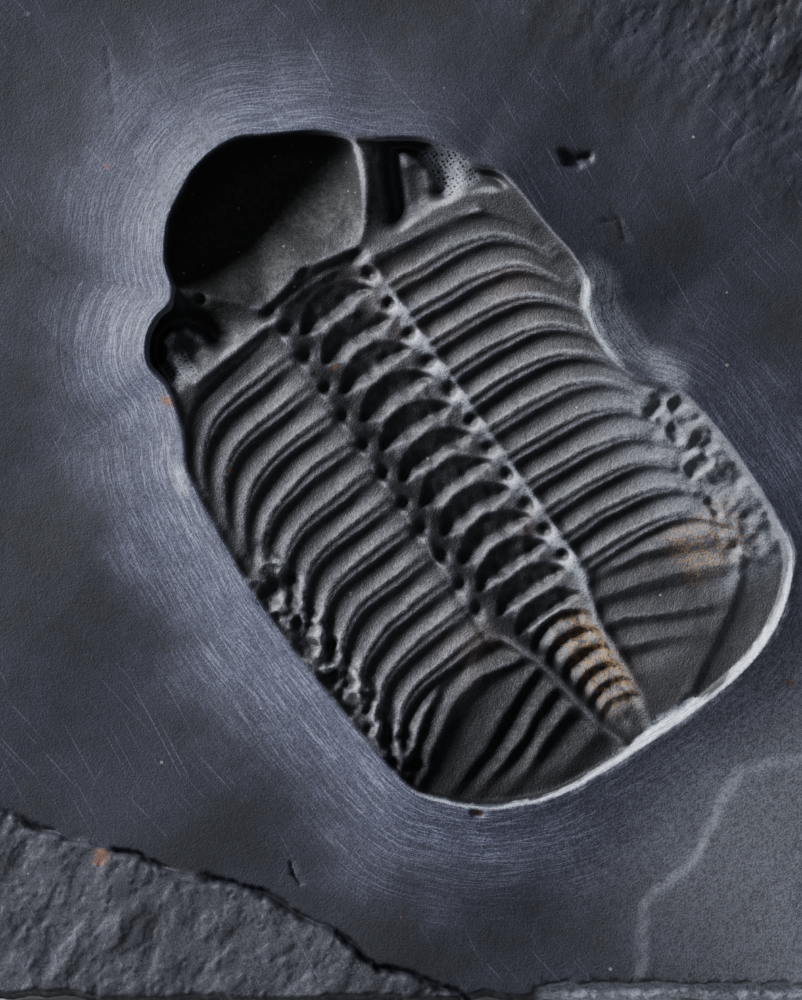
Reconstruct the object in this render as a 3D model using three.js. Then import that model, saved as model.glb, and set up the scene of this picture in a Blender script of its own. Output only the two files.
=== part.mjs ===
// A dark slate slab that holds the natural mould of a phacops trilobite.
// The animal's back is pressed into the stone: the glabella, the eyes, the rings of the axis
// and the pleural ribs are hollows, and the furrows between them stand up as ridges.
// Everything is in millimetres. +Z is up, out of the slab's face, and +Y is the top of the face.
// The animal has a frame of its own: s runs along its back from the head to the tail,
// and t runs across it, towards the right side when the head is up.
import * as THREE from "three";
import { mergeVertices } from "three/addons/utils/BufferGeometryUtils.js";

// The slab.
const SLAB_WIDTH = 89;
const SLAB_HEIGHT = 104;
const SLAB_THICKNESS = 14;
const FOOT_INSET = 1.1;
const EDGE_CHIP = 1.3;
const EDGE_ROUND = 0.9;
const MATRIX_FALL = 2.6;
const MATRIX_FALL_REACH = 7;
const SWELL = { height: 0.2, alongX: 0.21, shift: 0.6, alongY: 0.17, from: 2, to: 9 };
const WIDEST_LEVEL = 0.62;
const BROKEN_LEVEL = 0.3;

// Where the animal lies on the slab.
const BODY_ANGLE = THREE.MathUtils.degToRad(55.5);
const BODY_ORIGIN = new THREE.Vector2(-18.9, 33.1);

// The animal, along its back.
const HEAD_FRONT = -1;
const GLABELLA_WIDEST = 6;
const GLABELLA_HALF_WIDTH = 11.4;
const GLABELLA_END = 14.5;
const OCCIPUT = 16.7;
const FIRST_RING = 20.3;
const RING_COUNT = 11;
const RING_STEP = 3.62;
const RING_STEP_SHRINK = 0.023;
const TAIL_START = 55.6;
const TAIL_END = 72.5;

// The head: the bowl of the glabella, the ridge round it and the cheeks with their eyes.
const GLABELLA_BOWL = { depth: 6.7, rearRise: 3, roundness: 2.4 };
const BOWL_REACH = { front: 7.2, right: 4.6, rear: 6 };
const GLABELLA_RIDGE = { front: 0.4, rear: 1.6 };
const CHEEK = { depth: 0.35, reach: 1.1, sharpness: 1.4 };
const EYE_TROUGH = { depth: 1.6, width: 1.2 };
const EYE_LOBE = { rise: 0.5, width: 1 };

// The relief of the back.
const PLEURA_DEPTH = 1.7;
const PLEURA_SHARE = [10.5, 21.5];
const LEFT_MARGIN = 0.3;
const RIGHT_MARGIN = 0.7;
const TAIL_MARGIN = 1.5;
const AXIS_MIDDLE = [[40, 0.45], [55, 0.75], [60, 1], [68, 1.4]];
const AXIS_HALF_WIDTH = [[15, 5.6], [22, 6.2], [45, 6.1], [55, 5.3], [60, 3.5], [68, 2.8], [71.5, 1.6]];
const AXIS_DROP = 0.9;
const AXIS_RIDGE = { rise: 0.16, tailRise: 0.5, width: 0.6 };
const AXIS_FLOOR_SHARE = 0.5;
const TAIL_SHALLOWING = { pleura: 0.25, axis: 0.5 };
const RIM_WALL = 0.9;
const RIB_DEPTH = 0.9;
const RIB_BEND = { from: 6, reach: 14, sweep: 1.7, hook: 3.3 };
const RIB_INNER_END = [5.4, 6.8];
const RIB_OUTER_END = [19, 23];
const RING_DEPTH = 1;
const RING_ARCH = { sweep: 1.9, halfWidth: 3.6 };
const RING_ENDS = [3.3, 4.2];
const RING_HOLLOW = 2.5;
const TAIL_RING_STEP = 2.25;
const TAIL_RING_HOLLOW = 1.7;
const TAIL_RING_ENDS = [63, 68];
const TAIL_RIB_DEPTH = 0.7;
const TAIL_FOLD_DROP = 0.5;
const NODE_DEPTH = 0.75;
const NODE_RADIUS = 0.8;
const NODES = [{ t: -4.7, back: 1.1 }, { t: 5.5, back: 1.4 }];

// The rim of the mould, from the front of the head down each side to the tail, as [s, t].
const LEFT_RIM = [
  [-1, 0], [-0.6, -3], [0.3, -5], [2, -8], [4.2, -10], [5.8, -11], [7.9, -11.7], [9.2, -12.8],
  [9.6, -14.6], [10.8, -16.6], [13, -18], [16, -17.8], [20.5, -19.1], [24, -20.9], [30, -21.8],
  [38, -22.4], [46, -22.2], [54, -21.6], [60, -21], [63.6, -20.2], [65.8, -18.4], [68.4, -15.8],
  [70.6, -12], [71.9, -8], [72.4, -3], [72.5, 1],
];
const RIGHT_RIM = [
  [-1, 0], [-0.6, 2.6], [0.8, 5], [2.4, 8], [3.8, 10], [5.4, 11.6], [7, 13.4], [8.2, 15.2],
  [10, 17.6], [12.5, 19.4], [15, 20.4], [17.6, 22.3], [24, 22.9], [28.4, 23.4], [31.4, 23],
  [33.4, 21.5], [37, 20.8], [41.5, 21.6], [45, 24.4], [50, 25.4], [57, 25.6], [62, 25.1],
  [65.8, 24], [69.4, 20.2], [71.7, 15], [72.5, 8], [72.5, 1],
];

// The ridge round the glabella, from the front of the head round the right side and back, as [s, t].
const GLABELLA_OUTLINE = [
  [-1, 0], [-0.6, 2.6], [0.8, 5], [2.4, 8], [3.8, 10], [5.2, 11.2], [7, 11.5], [10, 10.3],
  [13, 8.3], [14.8, 6.3], [14.9, 4.5], [13.8, 0], [14.9, -4.4], [14.6, -5.6], [13, -7],
  [10.5, -9.5], [7.9, -11.5], [5.8, -11.1], [4.2, -10], [2, -8], [0.3, -5], [-0.6, -3],
];

// The eyes: the middle line of each trough and of the lobe that it bends round, as [s, t].
const LEFT_TROUGH = [
  [16.5, -10.4], [13.5, -11], [11.2, -12.2], [10.6, -14.4], [11.3, -16], [13, -17], [14.4, -17.1],
];
const LEFT_LOBE = [[12, -14.6], [14.2, -14], [16.6, -14.6]];
const RIGHT_TROUGH = [
  [16.6, 10.4], [13.5, 11.2], [10.8, 12.4], [9.6, 14], [10, 15.8], [11.6, 16.9], [15.2, 16.3],
];
const RIGHT_LOBE = [[14.4, 14.2], [17.2, 13.2]];

// The crests of the tail's ribs, as [t, s], from front to back.
const LEFT_TAIL_CRESTS = [
  [[-20, 62], [-17, 59], [-15, 57.5], [-12, 56], [-6, 55.3], [-3, 55.5]],
  [[-21, 64], [-19, 62.5], [-15, 60], [-12, 58.3], [-8, 57.5], [-5, 58.3], [-3, 58.5]],
  [[-21, 67], [-17, 65.7], [-12, 64], [-8, 62], [-5, 60.6], [-2, 60.2]],
  [[-18, 68.5], [-12, 66.2], [-8, 65], [-4, 63], [-1, 62.5]],
  [[-16, 69.8], [-9.5, 67.8], [-7, 66.8], [-3.7, 65.5], [-1, 65]],
  [[-14, 71.5], [-6, 70], [-2, 69], [0, 68.8]],
];
const RIGHT_TAIL_CRESTS = [
  [[4, 55.4], [7, 55.6], [12, 56.4], [17, 58.6], [21, 61], [26, 65]],
  [[4, 57.8], [5.5, 57.8], [10, 58.8], [15, 60.7], [20, 63], [23, 66], [26, 69]],
  [[4, 60.2], [7, 61], [11, 63], [15, 65], [18, 66.4], [24, 70]],
  [[4, 62.8], [8, 64.3], [13, 67], [17, 69.5], [22, 73]],
  [[4, 66], [8, 68], [13, 70.5], [20, 75]],
];
const TAIL_FOLD = [[62.6, 19.6], [64.2, 18.6], [66.5, 15.5], [68.6, 11.8], [70.6, 8.3]];

// The rock layers that were left standing outside the scraped ground, as a line in slab X and Y,
// and the height of each step. The layer is on the right of its line.
const LOWER_LEFT_LAYER = {
  rise: 0.75,
  line: [[-46, -30.4], [-30.1, -36.4], [-16.1, -40.4], [-8.1, -44.4], [-1.1, -48.9], [9, -53]],
};
const LOWER_RIGHT_LAYER = {
  rise: 0.3,
  line: [[21.4, -53], [23, -41.9], [28, -36.4], [32.4, -27.4], [46, -26]],
};
const LAYER_BEVEL = 1.2;

// The mesh: rows across the animal, columns along it, and rings out to the slab's edge.
const ROWS_PER_RING = 5;
const HEAD_ROWS = 19;
const TAIL_ROWS = 17;
const COLUMN_POSITIONS = [0, 0.025, 0.055, 0.1, 0.15, 0.21, 0.27, 0.33, 0.365, 0.4, 0.43, 0.465];
const BORDER = 1.4;
const FIRST_ROW_END = 9.5;
const MIDDLE_ROW_END = 30;
const END_EASING = 6;
const GROUND_RINGS = 5;
const SLATE_GREY = 0x3b3e46;

const along = new THREE.Vector2(Math.cos(BODY_ANGLE), -Math.sin(BODY_ANGLE));
const across = new THREE.Vector2(Math.sin(BODY_ANGLE), Math.cos(BODY_ANGLE));
const { clamp, lerp, smoothstep } = THREE.MathUtils;

/** Turns a place on the animal into a place on the slab. */
function toSlab(s, t) {
  return BODY_ORIGIN.clone().addScaledVector(along, s).addScaledVector(across, t);
}

/** Turns a place on the slab into a place on the animal. */
function toBody(x, y) {
  const from = new THREE.Vector2(x, y).sub(BODY_ORIGIN);
  return { s: from.dot(along), t: from.dot(across) };
}

/** A value between the points of a list of [position, value] pairs, which rise in position. */
function between(list, position) {
  const last = list.length - 1;
  const next = clamp(list.findIndex((pair) => pair[0] >= position), 0, last);
  if (position <= list[0][0]) return list[0][1];
  if (position >= list[last][0]) return list[last][1];
  const [p0, v0] = list[next - 1];
  const [p1, v1] = list[next];
  return lerp(v0, v1, (position - p0) / (p1 - p0));
}

/** A smooth closed loop through a list of [s, t] points. */
function smoothLoop(points) {
  const corners = points.map(([s, t]) => new THREE.Vector3(s, t, 0));
  const curve = new THREE.CatmullRomCurve3(corners, true, "catmullrom", 0.5);
  return curve.getPoints(points.length * 3).map((p) => [p.x, p.y]);
}

const rimLoop = smoothLoop([...LEFT_RIM, ...RIGHT_RIM.slice(1, -1).reverse()]);
const glabellaLoop = smoothLoop(GLABELLA_OUTLINE);

/** The distance from a place to a bent line, and whether the place lies on the line's right. */
function nearLine(line, x, y) {
  let distance = Infinity;
  let onRight = false;
  line.slice(1).forEach(([x1, y1], i) => {
    const [x0, y0] = line[i];
    const [ex, ey] = [x1 - x0, y1 - y0];
    const share = clamp(((x - x0) * ex + (y - y0) * ey) / (ex * ex + ey * ey), 0, 1);
    const far = Math.hypot(x - x0 - share * ex, y - y0 - share * ey);
    if (far < distance) {
      distance = far;
      onRight = ex * (y - y0) - ey * (x - x0) < 0;
    }
  });
  return { distance, onRight };
}

/** How far a place on the animal lies inside a loop; outside it is negative. */
function insideLoop(loop, s, t) {
  let inside = false;
  loop.slice(1).forEach(([s1, t1], i) => {
    const [s0, t0] = loop[i];
    if (s0 > s !== s1 > s && t < lerp(t0, t1, (s - s0) / (s1 - s0))) inside = !inside;
  });
  const { distance } = nearLine(loop, s, t);
  return inside ? distance : -distance;
}

/** A bell: 1 where the value is 0, falling away over a width. */
function bell(value, width) {
  return Math.exp(-((value / width) ** 2));
}

/** How far back a rib has bent at a distance from the axis: gently at first, then sharply. */
function ribBend(distance) {
  const out = clamp((distance - RIB_BEND.from) / RIB_BEND.reach, 0, 1.06);
  return RIB_BEND.sweep * out ** 2 + RIB_BEND.hook * out ** 6;
}

/** The front edge of ring number k of the thorax; number 0 is the occipital ring. */
function ringFront(k) {
  if (k < 1) return lerp(OCCIPUT, FIRST_RING, k);
  return FIRST_RING + RING_STEP * (k - 1) - RING_STEP_SHRINK * (k - 1) ** 2;
}

/** The number of the ring at a place along the back, with its part after the front edge. */
function ringNumber(s) {
  let k = Math.floor((s - OCCIPUT) / RING_STEP);
  while (ringFront(k + 1) <= s) k += 1;
  return k + (s - ringFront(k)) / (ringFront(k + 1) - ringFront(k));
}

// One pleura from crest to crest: a main crest, a narrow band, a lower crest and a broad band.
const PLEURA_PROFILE = [[0, 0], [0.16, 0.4], [0.3, 0.2], [0.5, 0.9], [0.62, 1], [0.85, 0.55], [1, 0]];

// One rib of the tail from crest to crest: steep behind the crest, then a gentle rise.
const TAIL_PROFILE = [[0, 0], [0.1, 0.35], [0.3, 1], [0.5, 0.9], [0.8, 0.45], [1, 0]];

/** The depth that the ribs add at a place on the thorax or the tail. */
function ribDepth(s, t) {
  const distance = Math.abs(t - between(AXIS_MIDDLE, s));
  const straight = s - ribBend(distance);
  const fade = smoothstep(distance, ...RIB_INNER_END) * (1 - smoothstep(distance, ...RIB_OUTER_END));
  if (straight > TAIL_START) return 0;
  const phase = ringNumber(Math.max(straight + 0.4, OCCIPUT + 0.01)) % 1;
  return RIB_DEPTH * fade * between(PLEURA_PROFILE, phase) * smoothstep(straight, OCCIPUT - 1, OCCIPUT);
}

/** The depth that the tail's ribs and the fold on its right side add. */
function tailDepth(s, t) {
  const distance = Math.abs(t - between(AXIS_MIDDLE, s));
  const onLeft = t < between(AXIS_MIDDLE, s);
  const crests = (onLeft ? LEFT_TAIL_CRESTS : RIGHT_TAIL_CRESTS).map((line) => between(line, t));
  const next = crests.findIndex((crest) => crest > s);
  if (next === 0 || s < TAIL_START - 0.5) return 0;
  const after = next > 0 ? crests[next] : TAIL_END + 1;
  const before = next > 0 ? crests[next - 1] : crests[crests.length - 1];
  const drop = between(TAIL_PROFILE, (s - before) / (after - before));
  const fade = 1 - 0.8 * (onLeft ? smoothstep(s - 0.35 * (t + 9), 66.5, 69.5) : smoothstep(s, 65.5, 68));
  const beside = smoothstep(distance - between(AXIS_HALF_WIDTH, s), -0.1, 0.9);
  const fold = nearLine(TAIL_FOLD, s, t);
  const beyond = t > 4 && !fold.onRight ? fold.distance : -fold.distance;
  const step = TAIL_FOLD_DROP * smoothstep(beyond, 0, 0.9) * (1 - 0.7 * smoothstep(beyond, 2, 5));
  const ribs = TAIL_RIB_DEPTH * drop * fade * beside * (1 - smoothstep(beyond, -0.3, 0.3));
  return ribs + step * smoothstep(s, 61, 64);
}

/** The depth that the rings of the axis add: hollow behind an arched front edge, then flat. */
function ringDepth(s, t) {
  const offset = t - between(AXIS_MIDDLE, s) - 0.1;
  const arch = RING_ARCH.sweep * (offset / RING_ARCH.halfWidth) ** 2;
  const width = 1 - smoothstep(Math.abs(offset), ...RING_ENDS);
  const inTail = s > TAIL_START;
  const front = TAIL_START + TAIL_RING_STEP * Math.floor((s - arch - TAIL_START) / TAIL_RING_STEP);
  const k = Math.floor(ringNumber(Math.max(s - arch, OCCIPUT)));
  const step = s - arch - (inTail ? front : ringFront(k));
  const reach = (inTail ? TAIL_RING_HOLLOW : RING_HOLLOW) - arch;
  if (step < 0 || reach <= 0) return 0;
  const fall = smoothstep(step, 0, 0.5) * (1 - smoothstep(step, 0.5, reach));
  return RING_DEPTH * fall * width * (1 - smoothstep(s, ...TAIL_RING_ENDS));
}

/** A round pit at each end of every ring of the thorax. */
function nodeDepth(s, t) {
  const k = Math.round((s - 1.2 - FIRST_RING) / (RING_STEP - 0.2)) + 1;
  let deepest = 0;
  for (const number of [k - 1, k, k + 1]) {
    if (number < 0 || number > RING_COUNT - 1) continue;
    for (const node of NODES) {
      const far = Math.hypot(s - ringFront(number) - node.back, t - node.t);
      deepest = Math.max(deepest, NODE_DEPTH * (1 - smoothstep(far, NODE_RADIUS * 0.4, NODE_RADIUS * 1.3)));
    }
  }
  return deepest;
}

/** The depth of the ridge round the glabella below the ground, which grows backwards. */
function ridgeDepth(s) {
  const rise = smoothstep(s, GLABELLA_WIDEST + 1, GLABELLA_END);
  return GLABELLA_RIDGE.front * smoothstep(s, 4.5, 7) + (GLABELLA_RIDGE.rear - GLABELLA_RIDGE.front) * rise;
}

/** The glabella: a bowl that falls from its ridge, with a floor that rises backwards. */
function glabellaDepth(s, t, inside) {
  const floor = GLABELLA_BOWL.depth - GLABELLA_BOWL.rearRise * smoothstep(s, 3, 14);
  const back = lerp(BOWL_REACH.front, BOWL_REACH.rear, smoothstep(s, 9, 13));
  const reach = lerp(back, BOWL_REACH.right, smoothstep(t, 2, 7) * smoothstep(s, 3, 7));
  const share = 1 - (1 - clamp(inside / reach, 0, 1)) ** GLABELLA_BOWL.roundness;
  return lerp(ridgeDepth(s), floor, share);
}

/** A cheek: it falls a little from the glabella's ridge, with the trough and the lobe of its eye. */
function cheekDepth(s, t, beyond) {
  const [trough, lobe] = t < 0 ? [LEFT_TROUGH, LEFT_LOBE] : [RIGHT_TROUGH, RIGHT_LOBE];
  const eye = EYE_TROUGH.depth * bell(nearLine(trough, s, t).distance, EYE_TROUGH.width)
    - EYE_LOBE.rise * bell(nearLine(lobe, s, t).distance, EYE_LOBE.width);
  const share = 1 - Math.exp(-((beyond / CHEEK.reach) ** CHEEK.sharpness));
  return ridgeDepth(s) + (CHEEK.depth + eye) * share;
}

/** The thorax and tail: side lobes that shallow outwards and the trough of the axis. */
function backDepth(s, t) {
  const distance = Math.abs(t - between(AXIS_MIDDLE, s));
  const half = between(AXIS_HALF_WIDTH, s);
  const side = t < 0 ? LEFT_MARGIN : RIGHT_MARGIN;
  const margin = lerp(side, TAIL_MARGIN, smoothstep(s, 60, 69));
  const pleura = PLEURA_DEPTH * (1 - TAIL_SHALLOWING.pleura * smoothstep(s, TAIL_START, 70));
  const lobe = lerp(pleura, margin, smoothstep(distance, ...PLEURA_SHARE));
  const floor = smoothstep(half - distance, 0, AXIS_FLOOR_SHARE * half);
  const axis = AXIS_DROP * floor * (1 - TAIL_SHALLOWING.axis * smoothstep(s, TAIL_START, 70));
  const rise = lerp(AXIS_RIDGE.rise, AXIS_RIDGE.tailRise, smoothstep(s, 56, 60));
  const ridge = rise * bell(distance - half, AXIS_RIDGE.width) * (1 - smoothstep(s, 70, 71.5));
  const added = ribDepth(s, t) + tailDepth(s, t) + ringDepth(s, t) + nodeDepth(s, t);
  return lobe + axis - ridge + added;
}

/** The depth of the mould below the ground round it. */
function mouldDepth(s, t) {
  const inside = insideLoop(rimLoop, s, t);
  if (inside <= 0) return 0;
  const within = insideLoop(glabellaLoop, s, t);
  const head = within > 0 ? glabellaDepth(s, t, within) : cheekDepth(s, t, -within);
  const bent = s - 0.4 * ribBend(Math.abs(t - between(AXIS_MIDDLE, s)));
  const whole = lerp(head, backDepth(s, t), smoothstep(bent, GLABELLA_END, GLABELLA_END + 2));
  return smoothstep(inside, 0, RIM_WALL) * Math.max(whole, 0);
}

/** How far a rock layer's step has risen at a place on the slab, from 0 to 1. */
function layerShare(layer, x, y) {
  const { distance, onRight } = nearLine(layer.line, x, y);
  return onRight ? smoothstep(distance, 0, LAYER_BEVEL) : 0;
}

/** The height of the slab's ground, before the mould is taken out of it. */
function groundHeight(x, y, outside) {
  const fall = MATRIX_FALL * (1 - Math.exp(-outside / MATRIX_FALL_REACH));
  const swell = SWELL.height * Math.sin(x * SWELL.alongX + SWELL.shift) * Math.cos(y * SWELL.alongY);
  const left = LOWER_LEFT_LAYER.rise * layerShare(LOWER_LEFT_LAYER, x, y);
  const right = LOWER_RIGHT_LAYER.rise * layerShare(LOWER_RIGHT_LAYER, x, y);
  return SLAB_THICKNESS - fall + swell * smoothstep(outside, SWELL.from, SWELL.to) + Math.max(left, right);
}

/** The height of the finished face at a place on the slab. */
function faceHeight(x, y) {
  const { s, t } = toBody(x, y);
  return groundHeight(x, y, Math.max(-insideLoop(rimLoop, s, t), 0)) - mouldDepth(s, t);
}

/** The rows of the animal: their places along the back on its middle line. */
function rowPlaces() {
  const places = [];
  for (let i = 0; i < HEAD_ROWS; i += 1) {
    places.push(lerp(HEAD_FRONT - BORDER, OCCIPUT - 0.7, i / HEAD_ROWS));
  }
  for (let i = 0; i < RING_COUNT * ROWS_PER_RING; i += 1) {
    places.push(ringFront(i / ROWS_PER_RING + 0.02));
  }
  const start = places[places.length - 1];
  for (let i = 1; i <= TAIL_ROWS; i += 1) {
    places.push(lerp(start, TAIL_END + BORDER, i / TAIL_ROWS));
  }
  return places;
}

/** A row's place along the back at a place across it: it follows the head, the ribs or the tail. */
function rowCurve(place, t) {
  const out = Math.abs(t);
  const arc = 8.2 * (1 - Math.exp(-1.55 * (out / GLABELLA_HALF_WIDTH) ** 2.4));
  const front = arc * (1 - smoothstep(place, -2, 15));
  const ribs = ribBend(out) * smoothstep(place, 6, 17) * (1 - smoothstep(place, 49, 72));
  const rear = 7.2 * Math.min(Math.abs(t - 1) / 22.5, 1.05) ** 2.6 * smoothstep(place, 50, TAIL_END);
  return place + front + ribs - rear;
}

/** Where a row leaves the animal on one side, a border's width outside the rim. */
function rowEnd(place, side) {
  const middle = 0.5;
  const opening = smoothstep(place, HEAD_FRONT - BORDER, GLABELLA_WIDEST);
  const closing = smoothstep(place, TAIL_END - 2 * RING_STEP, TAIL_END + BORDER);
  const most = lerp(FIRST_ROW_END, MIDDLE_ROW_END, opening) * (1 - 0.62 * closing);
  const step = 0.05;
  const inside = (t) => insideLoop(rimLoop, rowCurve(place, t), t);
  let out = 3;
  while (out < most && inside(middle + side * out) > -BORDER) out += step;
  return middle + side * Math.min(out, most);
}

/** A list of numbers with each one drawn towards its neighbours, a few times over. */
function eased(numbers, times) {
  const at = (list, i) => list[clamp(i, 0, list.length - 1)];
  let list = numbers;
  for (let k = 0; k < times; k += 1) {
    list = list.map((v, i) => (at(list, i - 1) + 2 * v + at(list, i + 1)) / 4);
  }
  return list;
}

/** The animal's grid of places on the slab, row by row. */
function bodyGrid() {
  const shares = [...COLUMN_POSITIONS, 0.5, ...COLUMN_POSITIONS.map((v) => 1 - v).reverse()];
  const places = rowPlaces();
  const left = eased(places.map((place) => rowEnd(place, -1)), END_EASING);
  const right = eased(places.map((place) => rowEnd(place, 1)), END_EASING);
  return places.map((place, i) => shares.map((share) => {
    const t = lerp(left[i], right[i], share);
    return toSlab(rowCurve(place, t), t);
  }));
}

/** The grid's outer loop, anticlockwise as seen from above. */
function loopIndices(rows, columns) {
  const loop = [];
  for (let i = 0; i < rows - 1; i += 1) loop.push([i, 0]);
  for (let j = 0; j < columns - 1; j += 1) loop.push([rows - 1, j]);
  for (let i = rows - 1; i > 0; i -= 1) loop.push([i, columns - 1]);
  for (let j = columns - 1; j > 0; j -= 1) loop.push([0, j]);
  return loop;
}

/** Places on the slab's rectangle, one for each place of the loop, with its corners met exactly. */
function edgePlaces(loop) {
  const corners = [[-1, 1], [-1, -1], [1, -1], [1, 1]].map(
    ([sx, sy]) => new THREE.Vector2((sx * SLAB_WIDTH) / 2, (sy * SLAB_HEIGHT) / 2),
  );
  const count = loop.length;
  const turn = (p) => Math.atan2(p.y / SLAB_HEIGHT, p.x / SLAB_WIDTH);
  const gap = (a, b) => Math.abs(Math.atan2(Math.sin(a - b), Math.cos(a - b)));
  const pinned = corners.map((corner) => {
    const gaps = loop.map((p) => gap(turn(p), turn(corner)));
    return gaps.indexOf(Math.min(...gaps));
  });
  const places = new Array(count);
  corners.forEach((corner, c) => {
    const start = pinned[c];
    const length = (pinned[(c + 1) % 4] - start + count) % count;
    for (let k = 0; k < length; k += 1) {
      places[(start + k) % count] = corner.clone().lerp(corners[(c + 1) % 4], k / length);
    }
  });
  return places;
}

/** A broken edge: bites taken inwards along the rectangle, none at some places. */
function brokenEdge(place, depth, phase) {
  const turn = Math.atan2(place.y, place.x);
  const coarse = Math.sin(9 * turn + phase) + 0.7 * Math.sin(23 * turn + 2 * phase);
  const bite = depth * clamp(coarse + 0.4 * Math.sin(41 * turn + phase), 0, 1.6);
  const onEdge = (value, size) => Math.abs(value) > (size / 2) * 0.999;
  const inX = onEdge(place.x, SLAB_WIDTH) ? bite : 0;
  const inY = onEdge(place.y, SLAB_HEIGHT) ? bite : 0;
  return new THREE.Vector2(place.x - Math.sign(place.x) * inX, place.y - Math.sign(place.y) * inY);
}

/** The slab as one closed mesh: the face, the broken sides and the flat back. */
function slabGeometry() {
  const vertices = [];
  const faces = [];
  const put = (x, y, z) => vertices.push(x, y, z) / 3 - 1;
  const quad = (a, b, c, d) => faces.push(a, b, c, a, c, d);

  const grid = bodyGrid();
  const ids = grid.map((row) => row.map((p) => put(p.x, p.y, faceHeight(p.x, p.y))));
  for (let i = 0; i < grid.length - 1; i += 1) {
    for (let j = 0; j < grid[0].length - 1; j += 1) {
      quad(ids[i][j], ids[i + 1][j], ids[i + 1][j + 1], ids[i][j + 1]);
    }
  }

  const loop = loopIndices(grid.length, grid[0].length);
  const start = loop.map(([i, j]) => grid[i][j]);
  const edges = edgePlaces(start);
  const tops = edges.map((p) => brokenEdge(p, EDGE_CHIP * 0.5, 0.4));
  const rings = [loop.map(([i, j]) => ids[i][j])];
  for (let r = 1; r <= GROUND_RINGS; r += 1) {
    const share = (r / GROUND_RINGS) ** 1.15;
    const last = r === GROUND_RINGS;
    rings.push(start.map((p, k) => {
      const spot = p.clone().lerp(tops[k], share);
      return put(spot.x, spot.y, faceHeight(spot.x, spot.y) - (last ? EDGE_ROUND : 0));
    }));
  }
  for (const [level, depth, phase] of [[WIDEST_LEVEL, 0, 0], [BROKEN_LEVEL, EDGE_CHIP * 0.4, 1.9]]) {
    rings.push(edges.map((p) => {
      const spot = brokenEdge(p, depth, phase);
      return put(spot.x, spot.y, SLAB_THICKNESS * level);
    }));
  }
  const footWidth = 1 - (2 * FOOT_INSET) / SLAB_WIDTH;
  const footHeight = 1 - (2 * FOOT_INSET) / SLAB_HEIGHT;
  rings.push(edges.map((p) => put(p.x * footWidth, p.y * footHeight, 0)));
  rings.slice(1).forEach((outer, r) => {
    const inner = rings[r];
    outer.forEach((id, k) => {
      const next = (k + 1) % outer.length;
      quad(inner[k], id, outer[next], inner[next]);
    });
  });

  const foot = rings[rings.length - 1];
  const middle = put(0, 0, 0);
  foot.forEach((id, k) => faces.push(middle, foot[(k + 1) % foot.length], id));

  const geometry = new THREE.BufferGeometry();
  geometry.setAttribute("position", new THREE.Float32BufferAttribute(vertices, 3));
  geometry.setIndex(faces);
  const closed = mergeVertices(geometry, 1e-4);
  closed.computeVertexNormals();
  return closed;
}

const slate = new THREE.MeshStandardMaterial({ color: SLATE_GREY, roughness: 0.72, metalness: 0 });
const slab = new THREE.Mesh(slabGeometry(), slate);
slab.name = "slate_slab_with_mould";

const fossil = new THREE.Group();
fossil.add(slab);

export default fossil;
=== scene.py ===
"""Looks of a dark slate slab that holds the natural mould of a phacops trilobite.

The slab is one closed surface. Its face is a height worked out over a fine grid of places: the
ground of the slab, less the depth of the mould. The mould's depth is worked out in the animal's
own frame: s runs along its back from head to tail, and t runs across it, to the right as the
face is seen with the head ahead. Sizes in the classes are in millimetres; the mesh is in metres.
"""

import logging
import math
from dataclasses import dataclass
from enum import Enum
from typing import Any, Sequence

import bpy
import numpy as np
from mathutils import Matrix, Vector

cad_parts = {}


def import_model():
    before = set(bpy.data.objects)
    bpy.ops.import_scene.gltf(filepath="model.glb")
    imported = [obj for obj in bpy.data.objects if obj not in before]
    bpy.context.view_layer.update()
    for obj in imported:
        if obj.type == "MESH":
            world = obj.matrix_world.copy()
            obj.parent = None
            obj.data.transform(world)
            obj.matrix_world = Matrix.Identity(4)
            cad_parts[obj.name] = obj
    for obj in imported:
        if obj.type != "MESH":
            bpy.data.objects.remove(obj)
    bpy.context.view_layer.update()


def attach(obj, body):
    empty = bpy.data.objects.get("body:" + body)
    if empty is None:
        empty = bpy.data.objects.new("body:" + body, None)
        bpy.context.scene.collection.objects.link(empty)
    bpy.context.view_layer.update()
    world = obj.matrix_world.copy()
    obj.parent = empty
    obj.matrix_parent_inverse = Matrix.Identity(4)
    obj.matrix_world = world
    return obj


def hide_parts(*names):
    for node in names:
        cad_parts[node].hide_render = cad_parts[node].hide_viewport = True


Array = np.ndarray
Points = Sequence[tuple[float, float]]
Span = tuple[float, float]

LOG = logging.getLogger("fossil")
MM = 0.001
NODE = "slate_slab_with_mould"

# Large odd numbers that spread the bits of a place, and the masks that keep 32 and 24 of them.
HASH_STEPS = (374761393, 668265263, 974634777)
HASH_MIXES = (1274126177, 2246822519)
HASH_WORD = 0xFFFFFFFF
HASH_TOP = 0xFFFFFF


class Side(Enum):
    """The two sides of the mould, seen with the head ahead, with the sign of t on each."""

    LEFT = -1
    RIGHT = 1


class Hand(Enum):
    """The two sides of a line as one goes along it, with the sign of the side on each."""

    LEFT = 1
    RIGHT = -1


def smooth(value: Array, low: float, high: float) -> Array:
    """Rises from 0 at low to 1 at high along a soft S, and is level beyond both."""
    share = np.clip((value - low) / (high - low), 0.0, 1.0)
    return share * share * (3.0 - 2.0 * share)


def hill(value: Array, width: float) -> Array:
    """A bell: 1 where value is 0, falling to 1/e where it is one width away."""
    return np.exp(-((value / width) ** 2))


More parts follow.
